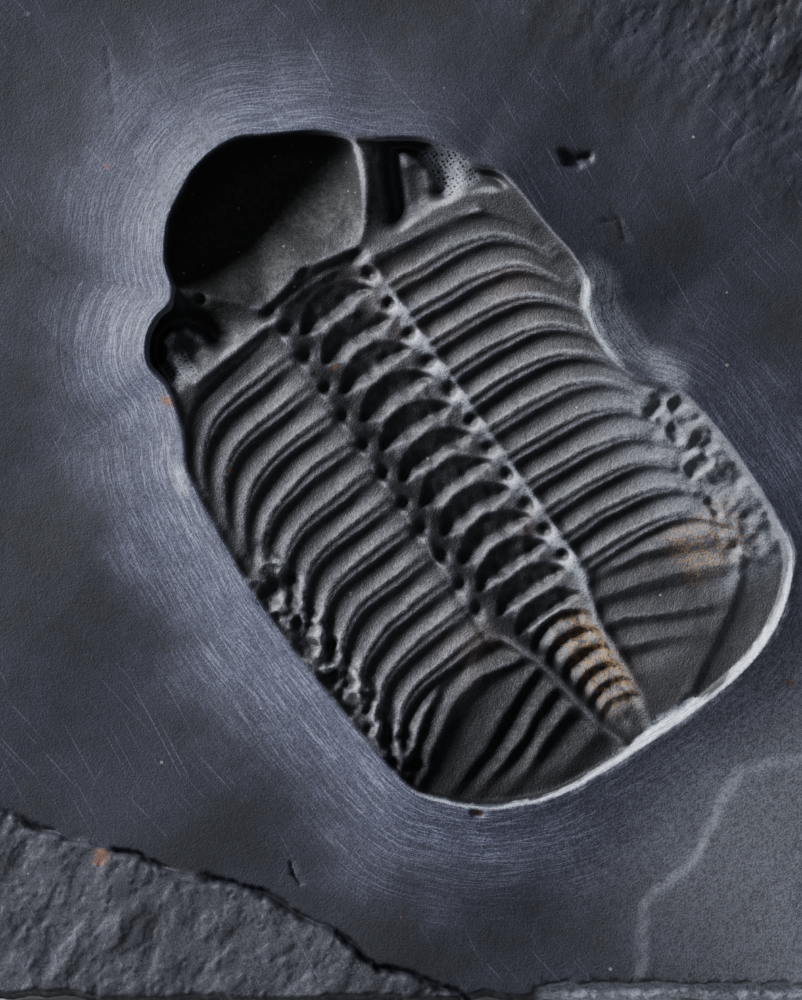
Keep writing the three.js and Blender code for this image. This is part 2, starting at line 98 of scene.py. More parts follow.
def hash_noise(ix: Array, iy: Array, seed: int) -> Array:
    """A fixed number from 0 to 1 for each whole-numbered place.

    Args:
        ix: Whole numbers along one way.
        iy: Whole numbers along the other way.
        seed: Picks another field of numbers.

    Returns:
        The mixed bits of the three numbers, scaled to lie from 0 to 1.
    """
    step_x, step_y, step_seed = HASH_STEPS
    h = (ix.astype(np.int64) * step_x + iy.astype(np.int64) * step_y + seed * step_seed) & HASH_WORD
    h = ((h ^ (h >> 13)) * HASH_MIXES[0]) & HASH_WORD
    h = ((h ^ (h >> 16)) * HASH_MIXES[1]) & HASH_WORD
    return ((h ^ (h >> 15)) & HASH_TOP) / float(HASH_TOP)


def noise(x: Array, y: Array, size: float, seed: int) -> Array:
    """Smooth random hills and hollows: lattice numbers blended by soft S-curves.

    Args:
        x: Places along one way.
        y: Places along the other way.
        size: Spacing of the lattice, in the same unit.
        seed: Picks another pattern.

    Returns:
        Values from -1 to 1.
    """
    fx, fy = x / size, y / size
    ix, iy = np.floor(fx), np.floor(fy)
    ux, uy = fx - ix, fy - iy
    ux = ux * ux * (3.0 - 2.0 * ux)
    uy = uy * uy * (3.0 - 2.0 * uy)
    low = hash_noise(ix, iy, seed) * (1 - ux) + hash_noise(ix + 1, iy, seed) * ux
    high = hash_noise(ix, iy + 1, seed) * (1 - ux) + hash_noise(ix + 1, iy + 1, seed) * ux
    return 2.0 * (low * (1 - uy) + high * uy) - 1.0


def layered_noise(x: Array, y: Array, size: float, seed: int, octaves: int = 4, keep: float = 0.55) -> Array:
    """Noise at several sizes added up, each half as wide as the last and keep times as strong.

    Args:
        x: Places along one way.
        y: Places along the other way.
        size: Spacing of the widest noise, in the same unit.
        seed: Picks another pattern.
        octaves: How many sizes are added.
        keep: The strength of each size next to the one before.

    Returns:
        Values from -1 to 1.
    """
    total, strength, norm = np.zeros_like(x), 1.0, 0.0
    for octave in range(octaves):
        total += strength * noise(x + 17.3 * octave, y - 9.1 * octave, size / 2**octave, seed + octave)
        norm += strength
        strength *= keep
    return total / norm


def cells(x: Array, y: Array, size: float, seed: int, scatter: float = 0.8) -> tuple[Array, Array]:
    """Distance to the nearest of a field of scattered points.

    Args:
        x: Places along one way.
        y: Places along the other way.
        size: Mean spacing of the points.
        seed: Picks another field.
        scatter: 0 keeps a square lattice, 1 scatters each point over its whole cell.

    Returns:
        The distance in the unit of x and y, and a fixed number from 0 to 1 for the nearest point.
    """
    fx, fy = x / size, y / size
    ix, iy = np.floor(fx), np.floor(fy)
    best = np.full(x.shape, 9.0)
    draw = np.zeros(x.shape)
    for dx in (-1, 0, 1):
        for dy in (-1, 0, 1):
            cx, cy = ix + dx, iy + dy
            px = cx + 0.5 + scatter * (hash_noise(cx, cy, seed) - 0.5)
            py = cy + 0.5 + scatter * (hash_noise(cx, cy, seed + 71) - 0.5)
            far = np.hypot(fx - px, fy - py)
            nearer = far < best
            best = np.where(nearer, far, best)
            draw = np.where(nearer, hash_noise(cx, cy, seed + 133), draw)
    return best * size, draw


def line_distance(x: Array, y: Array, points: Points) -> tuple[Array, Array, Array]:
    """Distance to a bent line, the side of it, and the way gone along it.

    Args:
        x: Places along one way.
        y: Places along the other way.
        points: The line's corners in order.

    Returns:
        The distance, +1 on the line's left and -1 on its right, and the length along the line
        up to the nearest point.
    """
    best = np.full(x.shape, 1e9)
    side = np.ones(x.shape)
    gone = np.zeros(x.shape)
    run = 0.0
    for (ax, ay), (bx, by) in zip(points[:-1], points[1:]):
        ex, ey = bx - ax, by - ay
        length = math.hypot(ex, ey)
        share = np.clip(((x - ax) * ex + (y - ay) * ey) / length**2, 0.0, 1.0)
        far = np.hypot(x - ax - share * ex, y - ay - share * ey)
        nearer = far < best
        best = np.where(nearer, far, best)
        side = np.where(nearer, np.sign(ex * (y - ay) - ey * (x - ax)), side)
        gone = np.where(nearer, run + share * length, gone)
        run += length
    return best, side, gone


@dataclass(frozen=True)
class BodyFrame:
    """Where the animal lies on the slab."""

    angle: float = math.radians(55.5)
    origin: tuple[float, float] = (-18.9, 33.1)

    def to_body(self, x: Array, y: Array) -> tuple[Array, Array]:
        """Turns places on the slab into places s, t on the animal.

        Args:
            x: Places across the slab.
            y: Places up the slab.

        Returns:
            The places along the animal and across it.
        """
        dx, dy = x - self.origin[0], y - self.origin[1]
        cos, sin = math.cos(self.angle), math.sin(self.angle)
        return dx * cos - dy * sin, dx * sin + dy * cos


# The mould's outline, and the line of the glabella inside it, in mm along and across the animal.
LEFT_RIM: Points = (
    (-1, 0), (-0.6, -3), (0.3, -5), (2, -8), (4.2, -10), (5.8, -11), (7.9, -11.7), (9.2, -12.8),
    (9.6, -14.6), (10.8, -16.6), (13, -18), (16, -17.8), (20.5, -19.1), (24, -20.9), (30, -21.8),
    (38, -22.4), (46, -22.2), (54, -21.6), (60, -21), (63.6, -20.2), (65.8, -18.4), (68.4, -15.8),
    (70.6, -12), (71.9, -8), (72.4, -3), (72.5, 1),
)  # fmt: skip
RIGHT_RIM: Points = (
    (-1, 0), (-0.6, 2.6), (0.8, 5), (2.4, 8), (3.8, 10), (5.4, 11.6), (7, 13.4), (8.2, 15.2),
    (10, 17.6), (12.5, 19.4), (15, 20.4), (17.6, 22.3), (24, 22.9), (28.4, 23.4), (31.4, 23),
    (33.4, 21.5), (37, 20.8), (41.5, 21.6), (45, 24.4), (50, 25.4), (57, 25.6), (62, 25.1),
    (65.8, 24), (69.4, 20.2), (71.7, 15), (72.5, 8), (72.5, 1),
)  # fmt: skip
GLABELLA_OUTLINE: Points = (
    (-1, 0), (-0.6, 2.6), (0.8, 5), (2.4, 8), (3.8, 10), (5.2, 11.2), (7, 11.5), (10, 10.3),
    (13, 8.3), (14.8, 6.3), (14.9, 4.5), (14.2, 2), (13.8, 0), (14.2, -2), (14.9, -4.4), (14.6, -5.6),
    (13, -7), (10.5, -9.5), (7.9, -11.5), (5.8, -11.1), (4.2, -10), (2, -8), (0.3, -5), (-0.6, -3),
)  # fmt: skip

# The axis: the place of its middle, and half the width between its ridges, at places along it.
AXIS_MIDDLE: Points = ((40, 0.45), (55, 0.75), (60, 1.0), (68, 1.4))
AXIS_HALF_WIDTH: Points = ((15, 5.6), (22, 6.2), (45, 6.1), (55, 5.3), (60, 3.5), (68, 2.8), (71.5, 1.6))

# The sweep of the pleurae: where it starts beside the axis, the way over which it grows, and its
# parts as lengths with the powers of the share of that way.
SWEEP_START = 6
SWEEP_WAY = 14
SWEEP_LIMIT = 1.06
SWEEP_PARTS: Points = ((1.7, 2), (3.3, 6))


def curve_through(points: Points, per_step: int = 4) -> Points:
    """A closed smooth curve through a loop of points.

    Args:
        points: The loop's points, the first not repeated at the end.
        per_step: New points for each old one.

    Returns:
        Points of cubic arcs whose slope at each old point is half the step between its
        neighbours, with the first repeated at the end.
    """
    p = np.array(points, float)
    ahead, behind, two = np.roll(p, -1, 0), np.roll(p, 1, 0), np.roll(p, -2, 0)
    u = (np.arange(per_step) / per_step)[:, None, None]
    arc = 0.5 * (2 * p + (ahead - behind) * u + (2 * behind - 5 * p + 4 * ahead - two) * u**2
                 + (3 * p - behind - 3 * ahead + two) * u**3)
    found = arc.transpose(1, 0, 2).reshape(-1, 2)
    return [*map(tuple, found.tolist()), tuple(found[0].tolist())]


def inside_loop(s: Array, t: Array, loop: Points) -> tuple[Array, Array]:
    """How far each place lies inside a closed loop, and the way round it.

    Args:
        s: Places along the animal.
        t: Places across it.
        loop: The loop's corners, with the first repeated at the end.

    Returns:
        The distance to the loop, positive inside and negative outside by counting crossings,
        and the length round the loop to its nearest point.
    """
    far, _, gone = line_distance(s, t, loop)
    odd = np.zeros(s.shape, bool)
    for (s0, t0), (s1, t1) in zip(loop[:-1], loop[1:]):
        if s0 != s1:
            odd ^= ((s0 > s) != (s1 > s)) & (t < t0 + (t1 - t0) * (s - s0) / (s1 - s0))
    return np.where(odd, far, -far), gone


@dataclass(frozen=True)
class Rim:
    """The outline of the mould and the wall that falls from it."""

    left: Points = LEFT_RIM
    right: Points = RIGHT_RIM
    wall: float = 0.8

    def loop(self) -> Points:
        """The outline as one closed smooth loop of s, t corners."""
        return curve_through([*self.left, *self.right[-2:0:-1]])

    def inside(self, s: Array, t: Array) -> tuple[Array, Array]:
        """How far each place lies inside the outline, and the way round it.

        Args:
            s: Places along the animal.
            t: Places across it.

        Returns:
            The distance to the outline, positive inside and negative outside, and the length
            round the outline to the nearest point of it.
        """
        return inside_loop(s, t, self.loop())


@dataclass(frozen=True)
class Glabella:
    """The bowl of the head's middle: a steep front wall, and a floor that rises backwards.

    Each span is the stretch, in mm, over which the value named with it sets in.
    """

    outline: Points = GLABELLA_OUTLINE
    centre: tuple[float, float] = (6.0, 0.0)
    depth: float = 6.3
    rear_rise: float = 1.7
    rise_span: Span = (3.0, 14.0)
    steepness: float = 3.4
    right_steepness: float = 5.0
    right_span: Span = (3.0, 8.0)
    rear_steepness: float = 1.7
    rear_span: Span = (8.0, 13.0)
    rear_sides: Span = (5.0, 9.0)
    ridge: float = 0.4
    ridge_span: Span = (4.5, 7.0)
    rear_ridge: float = 1.6
    rear_ridge_span: Span = (7.0, 14.5)
    grain: float = 0.13
    knob_gap: float = 0.7
    knob_edge: Span = (0.05, 0.28)

    def ridge_depth(self, s: Array) -> Array:
        """Depth of the ridge round the bowl below the ground: none in front, more backwards."""
        more = self.rear_ridge - self.ridge
        return self.ridge * smooth(s, *self.ridge_span) + more * smooth(s, *self.rear_ridge_span)

    def depth_at(self, s: Array, t: Array) -> Array:
        """The bowl's depth: ridge + (floor - ridge) * (1 - q^p), q the share of the way out.

        Args:
            s: Places along the animal.
            t: Places across it.

        Returns:
            The depth inside the outline. The way out is measured from the bowl's middle, along
            the ray through each place, and the power p is highest on the right.
        """
        ds, dt = s - self.centre[0], t - self.centre[1]
        corners = np.array(curve_through(self.outline)[:-1]) - self.centre
        turns = np.arctan2(corners[:, 1], corners[:, 0])
        reach = np.interp(np.arctan2(dt, ds), turns, np.hypot(*corners.T), period=2 * math.pi)
        out = np.clip(np.hypot(ds, dt) / reach, 0, 1)
        power = self.steepness + (self.right_steepness - self.steepness) * smooth(dt, *self.right_span)
        rear = smooth(s, *self.rear_span) * (1 - smooth(np.abs(dt), *self.rear_sides))
        power = power + (self.rear_steepness - power) * rear
        floor = self.depth - self.rear_rise * smooth(s, *self.rise_span)
        ridge = self.ridge_depth(s)
        return ridge + (floor - ridge) * (1 - out**power)

    def roughness(self, s: Array, t: Array) -> Array:
        """Low knobs and pits: the casts of the small tubercles that cover the glabella.

        Args:
            s: Places along the animal.
            t: Places across it.

        Returns:
            The height of the knobs over the floor.
        """
        far, draw = cells(s, t, self.knob_gap, 5, 0.95)
        knobs = (1 - smooth(far, *self.knob_edge)) * (draw - 0.35)
        return self.grain * (0.9 * knobs + 0.7 * layered_noise(s, t, 1.6, 11))


@dataclass(frozen=True)
class Hollow:
    """A soft-edged pit, or a knob where the depth is below zero, at a place on the animal."""

    s: float
    t: float
    depth: float
    half_s: float
    half_t: float

    def depth_at(self, s: Array, t: Array) -> Array:
        """A bell over the distance, measured in the hollow's own half lengths."""
        return self.depth * np.exp(-(((s - self.s) / self.half_s) ** 2) - ((t - self.t) / self.half_t) ** 2)


@dataclass(frozen=True)
class Furrow:
    """A furrow along a bent line of s, t corners, or a crest where the depth is below zero."""

    line: Points
    depth: float
    width: float

    def depth_at(self, s: Array, t: Array) -> Array:
        """A bell across the line."""
        far, _, _ = line_distance(s, t, self.line)
        return self.depth * hill(far, self.width)


@dataclass(frozen=True)
class Eye:
    """One eye: a trough that bends round the front of a low lobe, and the wall of the lenses."""

    side: Side
    trough: Points
    lobe: Points
    lens_wall: Points
    trough_depth: float = 1.7
    trough_width: float = 1.15
    lobe_rise: float = -0.7
    lobe_width: float = 1.1
    wall_rise: float = 0.45
    wall_width: float = 1.0
    least_across: float = 5.0

    def depth_at(self, s: Array, t: Array) -> Array:
        """Depth added to the cheek: bells across the trough, less those across lobe and wall.

        Args:
            s: Places along the animal.
            t: Places across it.

        Returns:
            The depth below the cheek, on the eye's own side only.
        """
        across = t * self.side.value
        far, _, _ = line_distance(s, across, self.trough)
        top, _, _ = line_distance(s, across, self.lobe)
        wall, _, _ = line_distance(s, across, self.lens_wall)
        added = self.trough_depth * hill(far, self.trough_width) - self.lobe_rise * hill(top, self.lobe_width)
        return np.where(across > self.least_across, added - self.wall_rise * hill(wall, self.wall_width), 0.0)


@dataclass(frozen=True)
class Cheeks:
    """The cheeks beside the glabella, with an eye on each."""

    depth: float = 0.45
    fall: float = 1.1
    sharpness: float = 1.4
    eyes: tuple[Eye, Eye] = (
        Eye(
            Side.LEFT,
            trough=((15.6, 10.6), (13.2, 11), (11.4, 12.2), (10.7, 14.4), (11.3, 16), (13, 17.1),
                    (14.4, 17.3)),
            lobe=((13.0, 13.9), (14.6, 13.4), (16.0, 14.0)),
            lens_wall=((14.2, 15.9), (15.6, 15.4), (16.8, 14.2)),
        ),
        Eye(
            Side.RIGHT,
            trough=((16.8, 10.3), (14.6, 11.3), (12.4, 12.3), (10.4, 13.3), (9.0, 14.4), (9.4, 15.8),
                    (11, 16.9), (13, 17.3), (14.6, 16.9), (15.5, 16.2)),
            lobe=((12.2, 14.8), (14.4, 13.8), (16.0, 12.9)),
            lens_wall=((11.6, 18.8), (13.6, 19.2), (15.4, 18.6), (16.8, 17.2), (17.2, 15.4)),
        ),
    )  # fmt: skip

    def depth_at(self, s: Array, t: Array, beyond: Array, ridge: Array) -> Array:
        """From the ridge's depth to the cheek's over a short way out, with both eyes' troughs.

        Args:
            s: Places along the animal.
            t: Places across it.
            beyond: The distance outside the glabella's outline.
            ridge: The depth of the glabella's ridge.

        Returns:
            The depth below the ground.
        """
        share = 1 - np.exp(-((np.maximum(beyond, 0) / self.fall) ** self.sharpness))
        eyes = sum(eye.depth_at(s, t) for eye in self.eyes)
        return ridge + (self.depth + eyes) * share


@dataclass(frozen=True)
class Neck:
    """The furrows and crests between the head and the first ring."""

    # The pits at both ends of the neck furrow, one in its middle, and two beside the left eye.
    hollows: tuple[Hollow, ...] = (
        Hollow(15.8, -5.1, depth=0.8, half_s=0.7, half_t=0.8),
        Hollow(15.9, 5.4, depth=0.8, half_s=0.7, half_t=0.8),
        Hollow(14.3, 0.0, depth=0.5, half_s=0.45, half_t=0.8),
        Hollow(10.7, -9.8, depth=0.9, half_s=0.4, half_t=0.4),
        Hollow(11.0, -14.5, depth=0.5, half_s=0.5, half_t=0.6),
    )
    # The neck furrow, the crest behind it, and the crests and furrow behind the two cheeks.
    furrows: tuple[Furrow, ...] = (
        Furrow(((15.3, -4.6), (15.0, -2), (15.2, 0), (15.0, 2), (15.3, 4.6)), 0.3, 0.5),
        Furrow(((15.9, -3), (15.6, 0), (15.9, 3)), -0.2, 0.35),
        Furrow(((16.3, -5), (16.7, -9), (17.2, -15)), -0.3, 0.5),
        Furrow(((17.5, -6.5), (18.0, -10), (19.0, -15.5)), 0.25, 0.42),
        Furrow(((16.6, 5.6), (17.2, 9), (18.2, 14), (19, 18)), -0.25, 0.5),
    )

    def depth_at(self, s: Array, t: Array) -> Array:
        """All of the hollows and furrows added up."""
        return sum(part.depth_at(s, t) for part in (*self.hollows, *self.furrows))


@dataclass(frozen=True)
class Thorax:
    """The rings of the axis and the ribs of the pleurae."""

    occiput: float = 16.7
    first_ring: float = 20.3
    rings: int = 11
    step: float = 3.62
    shrink: float = 0.023
    last_step: float = 3.4
    end: float = 55.6
    rib_depth: float = 0.66
    rib_start: Span = (5.4, 6.6)
    tips: Span = (17.5, 22.0)
    closing: float = 0.36
    closing_span: Span = (8.0, 19.0)
    ring_depth: float = 0.85
    ring_length: float = 2.7
    ring_arch: float = 1.7
    ring_half: float = 3.6
    pit_depth: float = 0.85
    pit_radius: float = 0.68
    pits: tuple[Span, Span] = ((-4.75, 1.1), (5.5, 1.4))
    knob_rise: float = 0.14
    profile: Points = (
        (0, 0), (0.05, 0.12), (0.13, 0.4), (0.19, 0.42), (0.28, 0.22), (0.33, 0.22), (0.42, 0.66),
        (0.5, 0.93), (0.58, 1.0), (0.72, 0.86), (0.84, 0.56), (0.93, 0.2), (1, 0),
    )  # fmt: skip
    ring_profile: Points = (
        (0, 0), (0.06, 0.2), (0.14, 0.32), (0.8, 1.0), (0.95, 0.7), (1.15, 0.08), (1.25, 0),
    )  # fmt: skip

    @staticmethod
    def middle(s: Array) -> Array:
        """The middle of the axis, which drifts to the right towards the tail."""
        return np.interp(s, *zip(*AXIS_MIDDLE))

    @staticmethod
    def half_width(s: Array) -> Array:
        """Half the width between the ridges along the axis, which narrows to the tail's end."""
        return np.interp(s, *zip(*AXIS_HALF_WIDTH))

    @staticmethod
    def bend(distance: Array) -> Array:
        """How far back a rib has swept at a distance from the axis: a square and a sixth power."""
        out = np.clip((distance - SWEEP_START) / SWEEP_WAY, 0, SWEEP_LIMIT)
        return sum(length * out**power for length, power in SWEEP_PARTS)

    def ring_fronts(self) -> Array:
        """The places along the back where each ring starts, from the occipital ring.

        Returns:
            One place for each ring and one for the tail's front.
        """
        k = np.arange(0, self.rings + 1)
        fronts = self.first_ring + self.step * (k - 1) - self.shrink * (k - 1) ** 2
        fronts[0] = self.occiput
        return fronts

    def ring_number(self, s: Array) -> Array:
        """The ring's number at each place, with the share of the ring that lies ahead of it.

        Args:
            s: Places along the animal.

        Returns:
            The number, which goes on evenly behind the last ring.
        """
        fronts = self.ring_fronts()
        number = np.interp(s, fronts, np.arange(len(fronts)), left=0.0)
        return number + np.maximum(s - fronts[-1], 0) / self.last_step

    def phase(self, s: Array, t: Array) -> tuple[Array, Array, Array]:
        """The place between two crests, as a share of the way that closes up towards the tips.

        Args:
            s: Places along the animal.
            t: Places across it.

        Returns:
            The share from one main crest to the next, the pleura's number, and how strongly the
            pleurae stand there: they fade at the axis, at the tips and at both ends.
        """
        distance = np.abs(t - self.middle(s))
        wander = 0.24 * noise(s, t, 5.0, 31) + 0.07 * noise(s, 0.5 * t, 1.1, 33)
        straight = s - self.bend(distance) + wander * smooth(distance, 7, 10)
        number = self.ring_number(np.maximum(straight + 0.4, self.occiput + 0.01))
        share = (number % 1) ** (1 - self.closing * smooth(distance, *self.closing_span))
        on_left = np.where(t < 0, 0.4 + 0.6 * smooth(distance, 6, 10), 1.0)
        inner = smooth(distance, *self.rib_start) * on_left
        first = smooth(straight, self.occiput - 0.2, self.occiput + 1.0)
        start = 0.6 * first + 0.4 * smooth(straight, 18, 20)
        end = 1 - smooth(straight, self.end - 0.6, self.end + 1)
        return share, np.floor(number), inner * (1 - 0.75 * smooth(distance, *self.tips)) * start * end

    def ribs(self, s: Array, t: Array) -> Array:
        """Depth added by the pleurae: a crest, a narrow band, a lower crest and a broad hollow.

        Args:
            s: Places along the animal.
            t: Places across it.

        Returns:
            The depth below the side lobes.
        """
        share, number, strength = self.phase(s, t)
        drop = np.interp(share, *zip(*self.profile))
        uneven = 1 + 0.28 * noise(number * 5.3 + np.sign(t) * 9, t, 5.0, 35)
        return self.rib_depth * drop * strength * uneven

    def crest_wear_and_highlight(self, s: Array, t: Array) -> Array:
        """Thin pale lines along both crests of each pleura, part wear and part painted highlight, broken by
        noise.

        Args:
            s: Places along the animal.
            t: Places across it.

        Returns:
            The strength of the lines.
        """
        share, _, strength = self.phase(s, t)
        main = hill(np.minimum(share, 1 - share), 0.06)
        second = 0.6 * hill(share - 0.3, 0.05)
        return np.maximum(main, second) * strength * (0.7 + 0.5 * layered_noise(s, t, 1.6, 36, 3))

    def axis_rings(self, s: Array, t: Array) -> Array:
        """Depth added on the axis: a hollow behind each arched front, rising to a flat band.

        Args:
            s: Places along the animal.
            t: Places across it.

        Returns:
            The depth below the trough of the axis.
        """
        offset = t - self.middle(s) - 0.1 + 0.2 * noise(s, t, 2.6, 42)
        arch = self.ring_arch * np.abs(offset / self.ring_half) ** 2.4
        fronts = self.ring_fronts()
        index = np.clip(np.searchsorted(fronts, s - arch, side="right") - 1, 0, self.rings)
        step = s - arch - fronts[index]
        reach = self.ring_length - arch + 0.3 * noise(s, t, 1.7, 41)
        fall = np.interp(step / np.maximum(reach, 0.05), *zip(*self.ring_profile))
        rough = 1 + 0.2 * layered_noise(0.35 * s, t, 0.5, 43, 3) + 0.25 * layered_noise(s, t, 0.9, 44, 3)
        width = 1 - smooth(np.abs(offset), self.ring_half, self.ring_half + 0.8)
        good = (step > 0) & (reach > 0) & (s < self.end + 0.8)
        band = 0.05 * layered_noise(0.5 * s, t, 0.8, 45, 3) * (1 - smooth(np.abs(offset), 4, 6))
        return np.where(good, self.ring_depth * fall * width * rough, 0.0) + band

    def nodes(self, s: Array, t: Array) -> Array:
        """A pit at each end of every ring, each with its own small shift, size and depth.

        Args:
            s: Places along the animal.
            t: Places across it.

        Returns:
            The depth of the deepest pit at each place.
        """
        deepest = np.zeros(s.shape)
        for number, front in enumerate(self.ring_fronts()[: self.rings]):
            for across, back in self.pits:
                draw = noise(number * 2.7 + np.array([0.3, 1.7, 3.1, 4.6]), np.full(4, across), 1.0, 46)
                middle_s, middle_t = front + back + 0.3 * draw[0], across + 0.25 * draw[1]
                far = np.hypot(s - middle_s, (t - middle_t) * (1.05 + 0.2 * draw[2]))
                far = far * (1 + 0.25 * noise(s, t, 0.9, 47))
                pit = hill(far, self.pit_radius * (1 + 0.2 * draw[3]))
                deepest = np.maximum(deepest, self.pit_depth * pit)
        return deepest

    def risers(self, s: Array, t: Array) -> Array:
        """Depth taken away behind the right pits, where a knob stands on each ring's end."""
        knobs = sum(hill(s - front - 2.4, 0.5) for front in self.ring_fronts()[: self.rings])
        return -self.knob_rise * knobs * hill(t - 5.6, 0.9)


@dataclass(frozen=True)
class Tail:
    """The tail's fan of ribs and its narrow axis. Each crest is a line of t, s corners."""

    start: float = 55.6
    rib_depth: float = 0.5
    ring_depth: float = 0.65
    profile: Points = ((0, 0), (0.12, 0.3), (0.34, 1.0), (0.5, 0.95), (0.8, 0.45), (0.92, 0.12), (1, 0))
    fold: Points = ((62.6, 19.6), (64.2, 18.6), (66.5, 15.5), (68.6, 11.8), (70.6, 8.3))
    fold_drop: float = 0.3
    fronts: tuple[float, ...] = (56.7, 58.9, 61.2, 63.3, 65.2, 67.0)
    usual_gap: float = 2.2
    least_gap: float = 0.3
    # The crests of the ribs from front to back, with one line past the last on each side.
    left_crests: tuple[Points, ...] = (
        ((-20, 62.0), (-17, 59), (-15, 57.5), (-12, 56), (-6, 55.3), (-3, 55.5)),
        ((-21, 64.0), (-19, 62.5), (-15, 60), (-12, 58.3), (-8, 57.5), (-5, 58.3), (-3, 58.5)),
        ((-21, 67.0), (-17, 65.7), (-12, 64), (-8, 62), (-5, 60.6), (-2, 60.2)),
        ((-18, 68.5), (-12, 66.2), (-8, 65), (-4, 63), (-1, 62.5)),
        ((-16, 69.8), (-9.5, 67.8), (-7, 66.8), (-3.7, 65.5), (-1, 65)),
        ((-14, 71.5), (-6, 70), (-2, 69), (0, 68.8)),
        ((-14, 74), (0, 73.5)),
    )
    right_crests: tuple[Points, ...] = (
        ((4, 55.4), (7, 55.6), (12, 56.4), (17, 58.6), (21, 61), (26, 65)),
        ((4, 57.8), (5.5, 57.8), (10, 58.8), (15, 60.7), (20, 63), (23, 66), (26, 69)),
        ((4, 60.2), (7, 61), (11, 63), (15, 65), (18, 66.4), (24, 70)),
        ((4, 62.8), (8, 64.3), (13, 67), (17, 69.5), (22, 73)),
        ((4, 66), (8, 68), (13, 70.5), (20, 75)),
        ((4, 73.5), (20, 77)),
    )

    def between(self, s: Array, t: Array, crests: tuple[Points, ...]) -> Array:
        """The profile read between each pair of crests: steep behind one, gentle up to the next.

        Args:
            s: Places along the animal.
            t: Places across it.
            crests: The crests from front to back, as lines of t, s corners.

        Returns:
            The depth, from 0 at each crest to about 1 in the hollow behind it.
        """
        lines = [np.interp(t, *zip(*line)) for line in crests]
        found = np.zeros(s.shape)
        for before, after in zip(lines[:-1], lines[1:]):
            gap = np.maximum(after - before, self.least_gap)
            phase = (s - before) / gap
            drop = np.interp(phase, *zip(*self.profile)) * np.minimum(gap / self.usual_gap, 1.2)
            found = np.where((phase >= 0) & (phase < 1), drop, found)
        return found

    def ribs(self, s: Array, t: Array) -> Array:
        """Depth added beside the tail's axis by the ribs of both sides, fading to the rim.

        Args:
            s: Places along the animal.
            t: Places across it.

        Returns:
            The depth below the tail's side lobes, with the step of the fold at its border.
        """
        wobble = s + 0.3 * layered_noise(s, t, 3.4, 37, 3)
        left_fade = 1 - 0.8 * smooth(s - 0.35 * (t + 9), 66.5, 69.5)
        right_fade = 0.7 - 0.55 * smooth(s + 0.1 * (t - 8), 64.0, 68)
        left = self.between(wobble, t, self.left_crests) * left_fade
        right = self.between(wobble, t, self.right_crests) * right_fade
        found = np.where(t < Thorax.middle(s), left, right)
        beside = smooth(np.abs(t - Thorax.middle(s)) - Thorax.half_width(s), -0.1, 0.9)
        far, side, _ = line_distance(s, t, self.fold)
        beyond = far * np.where(t > 4, side, -1)
        fold = self.fold_drop * smooth(beyond, 0, 0.9) * (1 - 0.7 * smooth(beyond, 2, 5))
        strength = self.rib_depth * (1 + 0.3 * layered_noise(s, t, 3.0, 38, 3))
        return strength * found * beside * (1 - smooth(beyond, -1.2, 0.2)) + fold * smooth(s, 61, 64)

    def axis_rings(self, s: Array, t: Array) -> Array:
        """Depth added on the tail's axis: arched steps that fade backwards.

        Args:
            s: Places along the animal.
            t: Places across it.

        Returns:
            The depth below the trough of the axis, with low knobs on it.
        """
        offset = t - Thorax.middle(s) - 0.1 + 0.25 * noise(s, t, 1.6, 39)
        arch = 1.2 * (offset / 3.0) ** 2
        fronts = np.array(self.fronts)
        index = np.clip(np.searchsorted(fronts, s - arch, side="right") - 1, 0, len(fronts) - 1)
        step = s - arch - fronts[index]
        fall = smooth(step, 0, 0.35) * (1 - smooth(step, 0.5, 1.8))
        width = 1 - smooth(np.abs(offset) / Thorax.half_width(s), 0.6, 0.95)
        rough = 1 + 0.4 * layered_noise(0.5 * s, t, 0.6, 40, 3)
        knobs = 0.22 * layered_noise(s, t, 1.1, 48, 4) * width
        fade = 1 - 0.6 * smooth(s, 61, 69)
        return np.where(step > 0, self.ring_depth * fall * width * rough * fade, 0.0) + knobs


